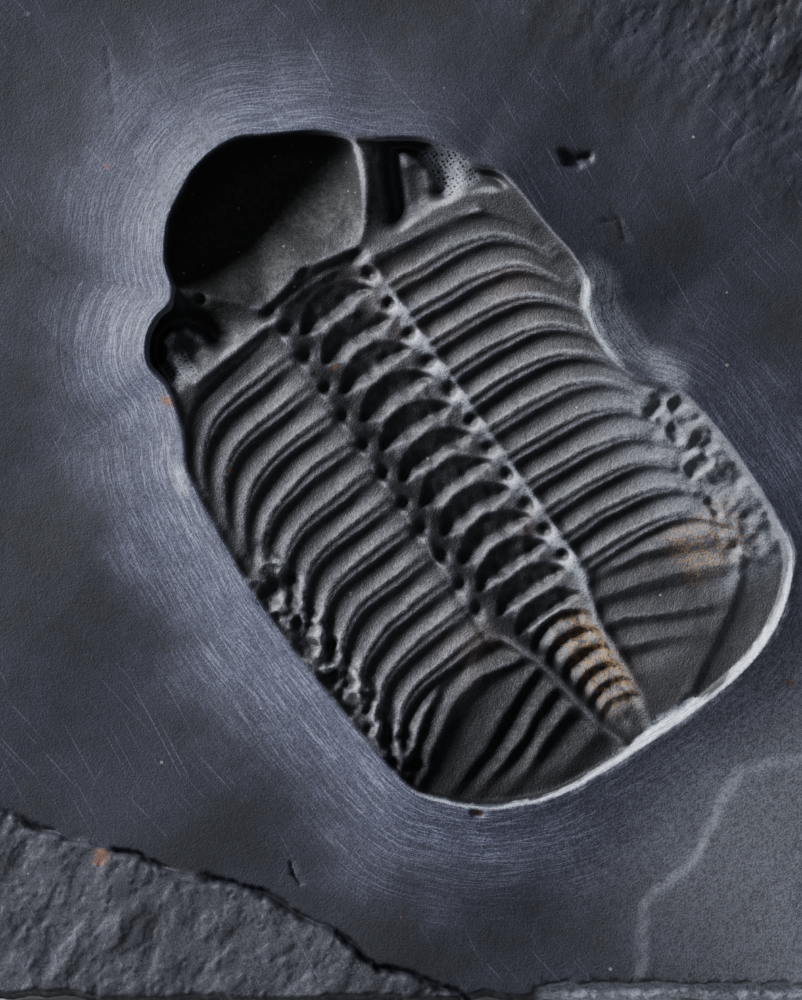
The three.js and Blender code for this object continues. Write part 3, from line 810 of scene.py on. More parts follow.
@dataclass(frozen=True)
class Mould:
    """The whole hollow of the animal."""

    rim: Rim = Rim()
    glabella: Glabella = Glabella()
    cheeks: Cheeks = Cheeks()
    neck: Neck = Neck()
    thorax: Thorax = Thorax()
    tail: Tail = Tail()
    neck_span: Span = (14.5, 16.5)
    pleura_depth: float = 1.7
    pleura_share: Span = (10.5, 21.5)
    left_margin: float = 0.3
    right_margin: float = 0.7
    tail_margin: float = 1.5
    tail_margin_span: Span = (60.0, 69.0)
    axis_drop: float = 0.9
    ridge_rise: float = 0.1
    ridge_half: float = 0.6
    seam: float = 0.16
    seam_across: float = -5.7
    shard: float = 0.7
    cavity_depth: float = 0.55
    # The cavities between the right tips: their places along and across, and half lengths.
    cavities: tuple[tuple[float, float, float, float], ...] = (
        (45.5, 21.4, 0.5, 1.1),
        (46.3, 23.4, 0.7, 0.9),
        (48.6, 21.5, 0.9, 0.5),
        (52.6, 21.6, 0.7, 1.3),
        (51.6, 23.6, 0.5, 0.8),
        (56.8, 20.6, 1.2, 0.4),
    )
    # The width of the pale wall behind the tail, bruised and painted with a highlight, at places across the
    # animal, and the lines of its facets.
    bruise_and_highlight_width: Points = (
        (-16, 0.1), (-6, 0.35), (0, 0.7), (4, 1.3), (8, 1.2), (9, 0.1), (11, 0.1), (12.5, 0.75), (20, 0.6),
        (24, 0.2),
    )  # fmt: skip
    left_facet: Points = ((23.4, -21.4), (25.4, -22.3))
    right_facet: Points = ((31.2, 22.9), (33.4, 21.6), (36.8, 20.9), (39.5, 21.2))
    right_slope: Points = ((30.5, 24.2), (34.5, 23.0), (39, 22.9), (44, 24.8))

    def shards(self, s: Array, t: Array) -> Array:
        """Broken rib tips along both rims: long plates at random depths with sharp edges.

        Args:
            s: Places along the animal.
            t: Places across it.

        Returns:
            The depth added where the tips are broken.
        """
        straight = s - Thorax.bend(np.abs(t - Thorax.middle(s)))
        skew = 0.5 * layered_noise(s, t, 2.4, 52, 3)
        long_plates = np.round(5 * layered_noise(straight + skew, 0.28 * t, 1.3, 51, 4)) / 5
        short_plates = np.round(4 * layered_noise(0.8 * s + skew, 0.7 * t - skew, 1.2, 55, 4)) / 4
        left = smooth(-t, 16.5, 18.5) * smooth(s, 31, 40) * (1 - smooth(s, 60, 65))
        right = smooth(t, 17.8, 19.8) * smooth(s, 41, 46) * (1 - smooth(s, 62, 67))
        rough = layered_noise(s, t, 1.1, 53, 3)
        holes = np.zeros(s.shape)
        for middle_s, middle_t, half_s, half_t in self.cavities:
            box = np.maximum(np.abs(s - middle_s) / half_s, np.abs(t - middle_t) / half_t)
            holes = np.maximum(holes, 1 - smooth(box + 0.35 * rough, 0.7, 1.1))
        plates = left * (1.7 * short_plates + 0.15 + 0.4 * rough)
        plates = plates + right * (0.9 * long_plates + 0.1 + 0.4 * rough)
        return self.shard * plates + right * self.cavity_depth * holes

    def bruise_and_highlight(self, s: Array, t: Array, inside: Array) -> Array:
        """Where the rock is paled: the wall behind the tail and the right facet, bruised by the needle and
        painted with a highlight where they face the lamp, the bruised left facet, and a scraped slope.

        Args:
            s: Places along the animal.
            t: Places across it.
            inside: The distance inside the rim.

        Returns:
            The share of pale rock, bruised and painted highlight, from 0 to 1.
        """
        ragged = inside + 0.35 * layered_noise(s, t, 1.6, 56, 4)
        width = np.interp(t, *zip(*self.bruise_and_highlight_width))
        tail = smooth(ragged, -0.25, 0.1) * (1 - smooth(ragged - width, -0.15, 0.15)) * smooth(s, 60, 66)
        right, _, _ = line_distance(s, t, self.right_facet)
        right = 1 - smooth(right + 0.3 * layered_noise(s, t, 1.2, 57, 3), 0.15, 0.7)
        left, _, _ = line_distance(s, t, self.left_facet)
        left = 1 - smooth(left + 0.25 * layered_noise(s, t, 0.9, 58, 3), 0.3, 0.8)
        slope, _, _ = line_distance(s, t, self.right_slope)
        slope = 1 - smooth(slope + 1.2 * layered_noise(s, t, 3.0, 59, 4), 0.2, 2.2)
        return np.clip(tail + 0.8 * right + 0.6 * left + 0.3 * slope, 0, 1)

    def lobes(self, s: Array, t: Array) -> Array:
        """Depth of the side lobes, which shallow outwards to the margin inside the rim.

        Args:
            s: Places along the animal.
            t: Places across it.

        Returns:
            The depth below the ground.
        """
        margin = np.where(t < 0, self.left_margin, self.right_margin)
        margin = margin + (self.tail_margin - margin) * smooth(s, *self.tail_margin_span)
        share = smooth(np.abs(t - Thorax.middle(s)), *self.pleura_share)
        return self.pleura_depth * (1 - 0.25 * smooth(s, 56, 70)) * (1 - share) + margin * share

    def ridges(self, s: Array, t: Array) -> Array:
        """Height of the two ridges beside the axis, less the seam inside the left one.

        Args:
            s: Places along the animal.
            t: Places across it.

        Returns:
            The height above the lobes, below zero in the seam.
        """
        beside = hill(np.abs(t - Thorax.middle(s)) - Thorax.half_width(s), self.ridge_half)
        rise = self.ridge_rise * (1 + 1.4 * smooth(s, 56, 60) - 2.4 * smooth(s, 63, 69)) * beside
        along = smooth(s, 16, 18) * (1 - smooth(s, 55, 58))
        return (rise - self.seam * hill(t - self.seam_across, 0.2) * along) * (1 - smooth(s, 70, 71.5))

    def back(self, s: Array, t: Array) -> Array:
        """Depth of the thorax and tail: side lobes, the trough of the axis, and all on them.

        Args:
            s: Places along the animal.
            t: Places across it.

        Returns:
            The depth below the ground.
        """
        half = Thorax.half_width(s)
        inner = smooth(half - np.abs(t - Thorax.middle(s)), 0.0, 0.5 * half)
        axis = self.axis_drop * inner * (1 - 0.5 * smooth(s, 58, 70))
        thorax = (self.thorax.ribs, self.thorax.axis_rings, self.thorax.nodes, self.thorax.risers)
        added = sum(form(s, t) for form in (*thorax, self.tail.ribs, self.tail.axis_rings, self.shards))
        return self.lobes(s, t) + axis - self.ridges(s, t) + added

    def depth(self, s: Array, t: Array, inside: Array) -> Array:
        """Depth below the ground round the mould, with the wall rising to nothing at the rim.

        Args:
            s: Places along the animal.
            t: Places across it.
            inside: The distance inside the rim.

        Returns:
            The depth, 0 outside the rim.
        """
        bent = s - 0.4 * Thorax.bend(np.abs(t - Thorax.middle(s)))
        share = smooth(bent, *self.neck_span)
        within, _ = inside_loop(s, t, curve_through(self.glabella.outline))
        bowl = self.glabella.depth_at(s, t)
        cheeks = self.cheeks.depth_at(s, t, -within, self.glabella.ridge_depth(s))
        head = np.where(within > 0, bowl, cheeks)
        whole = head * (1 - share) + self.back(s, t) * share + self.neck.depth_at(s, t)
        return np.where(inside > 0, smooth(inside, 0, self.rim.wall) * np.maximum(whole, 0.0), 0.0)


@dataclass(frozen=True)
class Layer:
    """A rock layer left standing outside the scraped ground, on one side of a broken line."""

    rise: float
    line: Points
    side: Hand
    bevel: float
    crevice: float

    def heights(self, x: Array, y: Array) -> tuple[Array, Array]:
        """How high the layer stands at each place, and how deep a crevice runs at its edge.

        Args:
            x: Places across the slab.
            y: Places up the slab.

        Returns:
            The layer's height and the crevice's depth.
        """
        far, side, gone = line_distance(x, y, self.line)
        ragged = far * np.where(side == self.side.value, 1, -1) + 0.9 * layered_noise(x, y, 3.4, 61)
        open_here = smooth(noise(gone, gone * 0, 5.0, 63), -0.2, 0.4)
        return self.rise * smooth(ragged, 0, self.bevel), self.crevice * hill(ragged - 0.1, 0.28) * open_here


@dataclass(frozen=True)
class Scratch:
    """A scratch, crack or gouge cut into the ground along a line."""

    line: Points
    width: float
    depth: float

    def cut(self, x: Array, y: Array) -> Array:
        """The depth of the cut: a bell across the line with a slightly ragged width."""
        far, _, _ = line_distance(x, y, self.line)
        return self.depth * hill(far * (1 + 0.35 * noise(x, y, 0.7, 67)), self.width)


@dataclass(frozen=True)
class Ground:
    """The slab's face round the mould: scraped near it and split rock farther out."""

    thickness: float = 14.0
    fall: float = 2.6
    reach: float = 7.0
    swell: float = 0.2
    layers: tuple[Layer, Layer] = (
        Layer(
            rise=0.75,
            line=((-46, -30.4), (-41.1, -32.4), (-30.1, -36.4), (-16.1, -40.4), (-8.1, -44.4), (-1.1, -48.9),
                  (4.9, -50.4), (9, -53)),
            side=Hand.RIGHT,
            bevel=0.8,
            crevice=0.7,
        ),
        Layer(
            rise=0.24,
            line=((46, -26), (32.4, -27.4), (28, -36.4), (23, -41.9), (21.4, -53)),
            side=Hand.LEFT,
            bevel=1.5,
            crevice=0.0,
        ),
    )  # fmt: skip
    # The angled cut, the cavity in two parts, a crack, a nick, a pit and four needle scratches.
    cuts: tuple[Scratch, ...] = (
        Scratch(((18.9, 26.4), (20.9, 26.7), (21.4, 24.6)), 0.1, 0.1),
        Scratch(((15.5, 33.2), (16.6, 32.7), (17.7, 32.9)), 0.5, 0.7),
        Scratch(((15.9, 32.6), (16.6, 32.2)), 0.5, 0.4),
        Scratch(((37.4, 40.1), (35.2, 36.4), (32.6, 34.6), (31.0, 32.0), (28.9, 30.6)), 0.1, 0.05),
        Scratch(((-12.1, -37.7), (-11.8, -38.8), (-11.1, -39.9)), 0.1, 0.3),
        Scratch(((6.4, -32.7), (7.0, -32.8)), 0.35, 0.35),
        Scratch(((-41, 25.5), (-33.5, 19.8)), 0.06, 0.08),
        Scratch(((-37.5, 16.8), (-31, 9.5)), 0.05, 0.07),
        Scratch(((-30.5, 44), (-29.6, 36)), 0.05, 0.06),
        Scratch(((17.5, -37.5), (22.5, -39.8)), 0.05, 0.07),
    )
    # The places of the rusty grains on the slab, with their half widths.
    rusty: tuple[tuple[float, float, float], ...] = (
        (37.8, -19.8, 0.5), (34.7, -22.5, 0.45), (6.7, -32.7, 0.5), (-30.8, 31.8, 0.4), (-1.1, -43.2, 0.35),
        (-31.1, -37.2, 0.9), (-18.2, 1.6, 0.4), (-24.4, 8.4, 0.7), (11.4, 31.9, 0.6), (-7.6, 11.9, 0.5),
    )  # fmt: skip
    grain: float = 0.035
    corner_span: Span = (48.0, 74.0)
    facet: float = 0.17
    facet_step: float = 0.14
    steps_per_mm: float = 3.2
    chip_from: float = 12.0
    chip_line: float = -49.9
    chip_fall: float = 1.1

    def standing(self, x: Array, y: Array) -> tuple[Array, Array]:
        """The height of the layers left standing, and the depth of the crevices at their edges."""
        (left, left_open), (right, right_open) = (layer.heights(x, y) for layer in self.layers)
        return np.maximum(left, right), left_open + right_open

    def grains(self, x: Array, y: Array) -> Array:
        """Rusty grains and smears: the highest of ragged bells at their places."""
        far = 1 + 0.4 * noise(x, y, 0.6, 87)
        return np.max([hill(np.hypot(x - gx, y - gy) * far, size) for gx, gy, size in self.rusty], axis=0)

    def chipped(self, x: Array, y: Array) -> Array:
        """The share of the chipped strip along the lower edge, with a scalloped upper line."""
        scallop = 0.35 * np.abs(noise(x, x * 0, 2.6, 77)) + 0.25 * layered_noise(x, y, 1.3, 79)
        return smooth(self.chip_line + scallop - y, 0, 0.5) * smooth(x, self.chip_from, self.chip_from + 1.5)

    def torn(self, x: Array, y: Array, standing: Array) -> Array:
        """Steps and facets where the rock was torn: the layers left standing and the far corner.

        Args:
            x: Places across the slab.
            y: Places up the slab.
            standing: The height of the layers left standing.

        Returns:
            The height of the steps and facets, up or down.
        """
        share = smooth(standing, 0.15, 0.6) + smooth(x * 0.75 + y, *self.corner_span)
        along, across = 0.5 * x + 0.87 * y, 0.87 * x - 0.5 * y
        corner = layered_noise(along, 2.0 * across, 4.4, 73, 5, 0.6)
        ledge = layered_noise(along, 1.6 * across, 4.8, 74, 6, 0.64)
        split = np.where(y < 0, ledge, corner)
        steps = np.round(split * self.steps_per_mm) / self.steps_per_mm
        return share * (self.facet * split + self.facet_step * steps)

    def height(self, x: Array, y: Array, outside: Array) -> Array:
        """The thickness less a fall away from the mould, with swells, layers, cuts and grain.

        Args:
            x: Places across the slab.
            y: Places up the slab.
            outside: The distance outside the rim.

        Returns:
            The height over the plane that the slab lies on.
        """
        fall = self.fall * (1 - np.exp(-outside / self.reach))
        swell = self.swell * np.sin(0.21 * x + 0.6) * np.cos(0.17 * y) * smooth(outside, 2, 9)
        standing, crevice = self.standing(x, y)
        rough = self.grain * layered_noise(x, y, 3.4, 71, 5, 0.6) * smooth(outside, 0, 5)
        raised = swell + standing + rough + self.torn(x, y, standing)
        cut = sum(scratch.cut(x, y) for scratch in self.cuts)
        strip = self.chip_fall * self.chipped(x, y) * (1 + 0.3 * layered_noise(x, y, 1.2, 83))
        return self.thickness - fall + raised - cut - crevice - strip


@dataclass(frozen=True)
class Slab:
    """The slab: its face over a fine grid, its broken sides and its back, as one closed piece."""

    width: float = 89.0
    height: float = 104.0
    pitch: float = 0.18
    foot_inset: float = 1.1
    foot_height: float = 0.35
    chip: float = 1.3
    chip_reach: float = 6.0
    edge_round: float = 0.9
    edge_width: float = 1.2
    side_levels: int = 14
    clearance: float = 0.03
    softness: float = 0.3
    relief_span: float = 1.5
    back_step: int = 8
    back_inset: float = 0.5
    back_clearance: float = 0.004
    back_splits: tuple[tuple[float, float, float], ...] = ((0.28, 0.05, 0.12), (0.2, 0.3, 0.34))
    target_faces: int = 190_000
    frame: BodyFrame = BodyFrame()
    ground: Ground = Ground()
    mould: Mould = Mould()

    def counts(self) -> tuple[int, int]:
        """Grid steps across and up the face, each a multiple of the back's step."""
        step = self.back_step
        return step * round(self.width / self.pitch / step), step * round(self.height / self.pitch / step)

    def bite(self, place: Array, seed: int) -> Array:
        """How far the broken edge lies inside the rectangle: only the high parts of some noise."""
        wave = layered_noise(place, np.full_like(place, seed), 7.0, seed, 5, 0.6)
        return self.chip * np.clip(wave + 0.1, 0, 0.8)

    def outline(self) -> tuple[Array, Array]:
        """The rectangle's border as a loop of places, anticlockwise from its lowest left corner.

        Returns:
            The places across and up the slab.
        """
        nx, ny = self.counts()
        w, h = self.width / 2 - self.clearance, self.height / 2 - self.clearance
        ax, ay = np.linspace(-w, w, nx + 1)[:-1], np.linspace(-h, h, ny + 1)[:-1]
        x = np.concatenate([ax, np.full(ny, w), -ax, np.full(ny, -w)])
        y = np.concatenate([np.full(nx, -h), ay, np.full(nx, h), -ay])
        return x, y

    def face_height(self, x: Array, y: Array) -> dict[str, Array]:
        """The face's height and the measures that the finish reads.

        The height is the ground's less the mould's depth, softened as a worn cast is, with the
        grain of the mould and the knobs of the head on top.

        Args:
            x: Places across the slab.
            y: Places up the slab.

        Returns:
            The height, the height over the mean round it, the place on the animal, the distance
            inside the rim and the way round it, the shares of torn, chipped and rusty rock, the share
            of bruised rock with its painted highlight, and the crest lines of wear and painted highlight.
        """
        s, t = self.frame.to_body(x, y)
        inside, gone = self.mould.rim.inside(s, t)
        ground = self.ground.height(x, y, np.maximum(-inside, 0))
        depth = self.mould.depth(s, t, inside)
        shade = smooth(inside, 0.6, 1.6)
        grain = shade * self.ground.grain * layered_noise(s, t, 0.8, 81)
        head = shade * (1 - smooth(s, 13.5, 15.5)) * self.mould.glabella.roughness(s, t)
        head = head * smooth(11 - np.abs(t), 0, 1.5)
        z = ground - self.blurred(depth, self.softness) + grain + head
        z = np.minimum(z, self.ground.thickness - self.clearance)
        standing, _ = self.ground.standing(x, y)
        return {
            "height": z,
            "relief": z - self.blurred(z, self.relief_span),
            "along": s,
            "across": t,
            "inside": inside,
            "round": gone,
            "rock": smooth(standing, 0.05, 0.7),
            "chip": self.ground.chipped(x, y),
            "bruise_and_highlight": self.mould.bruise_and_highlight(s, t, inside),
            "crest": self.mould.thorax.crest_wear_and_highlight(s, t),
            "rust": self.ground.grains(x, y),
        }

    def blurred(self, values: Array, size: float) -> Array:
        """The mean over a square of a size round each place, from running sums along both ways.

        Args:
            values: The values over the face's grid.
            size: The side of the square, in mm.

        Returns:
            The means, over the same grid.
        """
        reach = max(1, round(size / self.pitch / 2))
        found = values
        for axis in (0, 1):
            pads = [(0, 0), (0, 0)]
            pads[axis] = (reach + 1, reach)
            total = np.cumsum(np.pad(found, pads, mode="edge"), axis=axis)
            width = 2 * reach + 1
            ahead = np.take(total, np.arange(width, total.shape[axis]), axis=axis)
            behind = np.take(total, np.arange(0, total.shape[axis] - width), axis=axis)
            found = (ahead - behind) / width
        return found

    def places(self) -> tuple[Array, Array, Array]:
        """Places over the face with its edges bitten in, and the distance from the border.

        Returns:
            The places across and up the slab, and the distance in mm.
        """
        nx, ny = self.counts()
        u, v = np.meshgrid(np.linspace(-1, 1, nx + 1), np.linspace(-1, 1, ny + 1), indexing="ij")
        x, y = u * (self.width / 2 - self.clearance), v * (self.height / 2 - self.clearance)
        near_x = smooth(np.abs(x), self.width / 2 - self.chip_reach, self.width / 2)
        near_y = smooth(np.abs(y), self.height / 2 - self.chip_reach, self.height / 2)
        bite_x = np.where(x > 0, self.bite(y, 3), self.bite(y, 9))
        bite_y = np.where(y > 0, self.bite(x, 5), self.bite(x, 13))
        edge = np.minimum((1 - np.abs(u)) * self.width / 2, (1 - np.abs(v)) * self.height / 2)
        return x - np.sign(x) * near_x * bite_x, y - np.sign(y) * near_y * bite_y, edge

    def build(self) -> bpy.types.Object:
        """Makes the slab: the face as a grid, sides as rings of levels, and a coarser back.

        Returns:
            The closed piece, in metres, with the finish's measures on its vertices.
        """
        nx, ny = self.counts()
        x, y, edge = self.places()
        face = self.face_height(x, y)
        z = face.pop("height") - self.edge_round * (1 - smooth(edge, 0, self.edge_width)) ** 2
        grid = np.arange((nx + 1) * (ny + 1)).reshape(nx + 1, ny + 1)
        quads = np.stack([grid[:-1, :-1], grid[1:, :-1], grid[1:, 1:], grid[:-1, 1:]], -1).reshape(-1, 4)
        border = np.concatenate([grid[:-1, 0], grid[-1, :-1], grid[:0:-1, -1], grid[0, :0:-1]])
        top = np.stack([x.ravel(), y.ravel(), z.ravel()], -1)
        sides, side_quads = self.side_rings(top[border], border, len(top))
        back, back_quads, strip = self.back(len(top) + len(sides), nx, ny)
        points = np.concatenate([top, sides, back]) * MM
        faces = [part.tolist() for part in (quads, side_quads, back_quads, strip)]
        mesh = bpy.data.meshes.new("slate_slab")
        mesh.from_pydata(points.tolist(), [], sum(faces, []))
        self.mark(mesh, face)
        piece = bpy.data.objects.new("slate_slab", mesh)
        bpy.context.scene.collection.objects.link(piece)
        return self.thinned(piece)

    def mark(self, mesh: bpy.types.Mesh, face: dict[str, Array]) -> None:
        """Puts the face's measures on its vertices; the sides and back count as torn rock.

        Args:
            mesh: The slab's mesh, whose first vertices are the face's.
            face: Each measure's name and its values over the face.
        """
        off_face = {"inside": -30.0, "across": 40.0, "rock": 1.0}
        for name, values in face.items():
            rest = np.full(len(mesh.vertices) - values.size, off_face.get(name, 0.0))
            whole = np.concatenate([values.ravel(), rest]).astype(np.float32)
            mesh.attributes.new(name, "FLOAT", "POINT").data.foreach_set("value", whole)

    def side_rings(self, rim: Array, border: Array, start: int) -> tuple[Array, Array]:
        """The broken sides: rings of places from the face's edge down to above the foot.

        Args:
            rim: The face's border places, in order.
            border: Their vertex numbers.
            start: The number of the first new vertex.

        Returns:
            The new places, and the quads that join the rings.
        """
        ox, oy = self.outline()
        levels = np.linspace(0, 1, self.side_levels + 2)[1:-1][:, None]
        round_way = np.arange(len(ox))[None, :] * self.pitch
        down, round_way = np.broadcast_arrays(self.ground.thickness * levels, round_way)
        rough = layered_noise(round_way, down, 3.0, 91, 5, 0.6)
        split = noise(round_way * 0.08, down, 0.9, 95)
        body = np.sin(np.pi * np.clip(levels * 1.15, 0, 1))
        inward = 0.1 + 0.5 * self.chip * (0.5 + 0.5 * rough) + 0.25 * np.maximum(split, 0) * body
        on_x = (np.abs(ox) > self.width / 2 - 2 * self.clearance)[None, :]
        on_y = (np.abs(oy) > self.height / 2 - 2 * self.clearance)[None, :]
        foot = self.foot_inset * smooth(levels, 0.75, 1.1)
        full_x = np.sign(ox)[None, :] * on_x * (inward + foot)
        full_y = np.sign(oy)[None, :] * on_y * (inward + foot)
        blend = smooth(levels, 0, 0.25)
        px = rim[:, 0][None, :] * (1 - blend) + (ox[None, :] - full_x) * blend
        py = rim[:, 1][None, :] * (1 - blend) + (oy[None, :] - full_y) * blend
        pz = rim[:, 2][None, :] * (1 - levels) + self.foot_height * levels
        count = len(ox)
        new_ids = start + np.arange(self.side_levels * count).reshape(-1, count)
        ids = np.concatenate([border[None, :], new_ids])
        turned = np.roll(ids, -1, axis=1)
        quads = np.stack([ids[:-1], ids[1:], turned[1:], turned[:-1]], -1).reshape(-1, 4)
        return np.stack([px, py, pz], -1).reshape(-1, 3), quads

    def back(self, start: int, nx: int, ny: int) -> tuple[Array, Array, Array]:
        """The flat back with shallow splits, on a coarser grid than the face.

        Args:
            start: The number of the back's first vertex, which follows the sides' last ring.
            nx: Grid steps across the face.
            ny: Grid steps up the face.

        Returns:
            The new places, the back's quads, and the faces that join its border to the sides:
            each has one edge of the back and as many of the ring as the back's step.
        """
        step = self.back_step
        bx, by = nx // step, ny // step
        u, v = np.meshgrid(np.linspace(-1, 1, bx + 1), np.linspace(-1, 1, by + 1), indexing="ij")
        x = u * (self.width / 2 - self.foot_inset - self.back_inset)
        y = v * (self.height / 2 - self.foot_inset - self.back_inset)
        sheet = layered_noise(x, y, 26.0, 97, 4, 0.5)
        z = self.back_clearance + sum(rise * smooth(sheet, low, high) for rise, low, high in self.back_splits)
        grid = start + np.arange((bx + 1) * (by + 1)).reshape(bx + 1, by + 1)
        quads = np.stack([grid[:-1, :-1], grid[:-1, 1:], grid[1:, 1:], grid[1:, :-1]], -1).reshape(-1, 4)
        border = np.concatenate([grid[:-1, 0], grid[-1, :-1], grid[:0:-1, -1], grid[0, :0:-1]])
        count = 2 * (nx + ny)
        on_ring = np.arange(len(border))[:, None] * step + np.arange(step, -1, -1)
        ring = start - count + on_ring % count
        strip = np.concatenate([ring, border[:, None], np.roll(border, -1)[:, None]], axis=1)
        return np.stack([x, y, z], -1).reshape(-1, 3), quads, strip

    def thinned(self, piece: bpy.types.Object) -> bpy.types.Object:
        """Collapses the flattest faces until the piece has its target count.

        Args:
            piece: The slab with all of its faces.

        Returns:
            The same piece with its new mesh.
        """
        mesh = piece.data
        mesh.calc_loop_triangles()
        modifier = piece.modifiers.new("thin", "DECIMATE")
        modifier.ratio = min(1.0, self.target_faces / len(mesh.loop_triangles))
        depsgraph = bpy.context.evaluated_depsgraph_get()
        result = bpy.data.meshes.new_from_object(piece.evaluated_get(depsgraph), depsgraph=depsgraph)
        piece.modifiers.clear()
        piece.data = result
        bpy.data.meshes.remove(mesh)
        result.name = "slate_slab"
        result.shade_smooth()
        return piece


def linear(colour: str) -> tuple[float, float, float, float]:
    """Turns an sRGB hex colour into the linear values that the shader takes.

    Args:
        colour: The colour as # and six hex digits.

    Returns:
        The linear red, green and blue, and full cover.
    """
    channels = [int(colour[i : i + 2], 16) / 255 for i in (1, 3, 5)]
    values = [c / 12.92 if c <= 0.04045 else ((c + 0.055) / 1.055) ** 2.4 for c in channels]
    return (values[0], values[1], values[2], 1.0)


Links = dict[Any, Any] | None


def add_node(tree: bpy.types.NodeTree, kind: str, links: Links = None, **settings: Any) -> bpy.types.Node:
    """Adds a node with its settings and what goes into it.

    Args:
        tree: The tree that gets the node.
        kind: The node's Blender type.
        links: Socket name or number to an output socket, or to a plain value.
        **settings: Properties set on the node itself.

    Returns:
        The new node.
    """
    node = tree.nodes.new(kind)
    for name, value in settings.items():
        setattr(node, name, value)
    for name, value in (links or {}).items():
        if isinstance(value, bpy.types.NodeSocket):
            tree.links.new(value, node.inputs[name])
        else:
            node.inputs[name].default_value = value
    return node


class Nodes:
    """Short ways to add the nodes that the finishes share."""

    def __init__(self, tree: bpy.types.NodeTree) -> None:
        """Keeps the tree that the nodes go into."""
        self.tree = tree

    def add(self, kind: str, links: Links = None, **settings: Any) -> bpy.types.Node:
        """Adds one node with its settings and links."""
        return add_node(self.tree, kind, links, **settings)

    def attribute(self, name: str) -> bpy.types.NodeSocket:
        """The value of one of the mesh's vertex attributes."""
        return self.add("ShaderNodeAttribute", attribute_name=name).outputs["Fac"]

    def sum(self, operation: str, a: Any, b: Any = 0.0, c: Any = 0.0) -> bpy.types.NodeSocket:
        """The result of one step of arithmetic."""
        return self.add("ShaderNodeMath", {0: a, 1: b, 2: c}, operation=operation).outputs[0]

    def span(self, value: Any, low: float, high: float, at_low: Any = 0.0, at_high: Any = 1.0) -> Any:
        """Brings a value's span onto another span, smoothly and held at both ends."""
        links = {0: value, 1: low, 2: high, 3: at_low, 4: at_high}
        return self.add("ShaderNodeMapRange", links, interpolation_type="SMOOTHSTEP").outputs[0]

    def window(self, value: Any, a: float, b: float, c: float, d: float, top: float = 1.0) -> Any:
        """Rises from a to b, stays at the top, and falls from c to d."""
        return self.sum("MULTIPLY", self.span(value, a, b, 0.0, top), self.span(value, c, d, 1.0, 0.0))

    def box(self, m: "Measures", along: Sequence[float], across: Sequence[float]) -> Any:
        """One window along the animal times another across it."""
        return self.sum("MULTIPLY", self.window(m.along, *along), self.window(m.across, *across))

    def noise(self, vector: Any, scale: float, detail: float, rough: float) -> Any:
        """A noise value at a scale of cells a metre, or cells a unit of the vector."""
        links = {"Vector": vector, "Scale": scale, "Detail": detail, "Roughness": rough}
        return self.add("ShaderNodeTexNoise", links).outputs["Fac"]

    def stretched(self, vector: Any, turn: float, stretch: tuple[float, float]) -> bpy.types.NodeSocket:
        """Coordinates turned by some degrees about Z, then scaled along and across.

        Args:
            vector: The coordinates.
            turn: The turn in degrees.
            stretch: The scale along and across.

        Returns:
            The new coordinates.
        """
        turned = self.add("ShaderNodeMapping", {"Vector": vector, "Rotation": (0.0, 0.0, math.radians(turn))})
        links = {"Vector": turned.outputs[0], "Scale": (stretch[0], stretch[1], 1.0)}
        return self.add("ShaderNodeMapping", links).outputs[0]

    def blend(self, share: Any, a: Any, b: Any) -> bpy.types.NodeSocket:
        """Mixes two colours, given as sRGB hex or as sockets."""
        ends = {6: linear(a) if isinstance(a, str) else a, 7: linear(b) if isinstance(b, str) else b}
        return self.add("ShaderNodeMix", {"Factor": share, **ends}, data_type="RGBA").outputs[2]


@dataclass(frozen=True)
class Measures:
    """What the finish reads from the mesh, and the two noises that its parts share."""

    place: Any
    inside: Any
    round_way: Any
    relief: Any
    along: Any
    across: Any
    mottle: Any
    fine: Any

    @classmethod
    def read(cls, n: Nodes) -> "Measures":
        """Reads the vertex measures in mm, and makes a mottle of 9 mm and a grain of 0.5 mm.

        Args:
            n: The material's nodes.

        Returns:
            The sockets of the measures and noises.
        """
        place = n.add("ShaderNodeTexCoord").outputs["Object"]
        named = {name: n.attribute(name) for name in ("inside", "relief", "along", "across")}
        mottle, fine = n.noise(place, 110.0, 4.0, 0.62), n.noise(place, 1900.0, 4.0, 0.7)
        return cls(place=place, round_way=n.attribute("round"), mottle=mottle, fine=fine, **named)


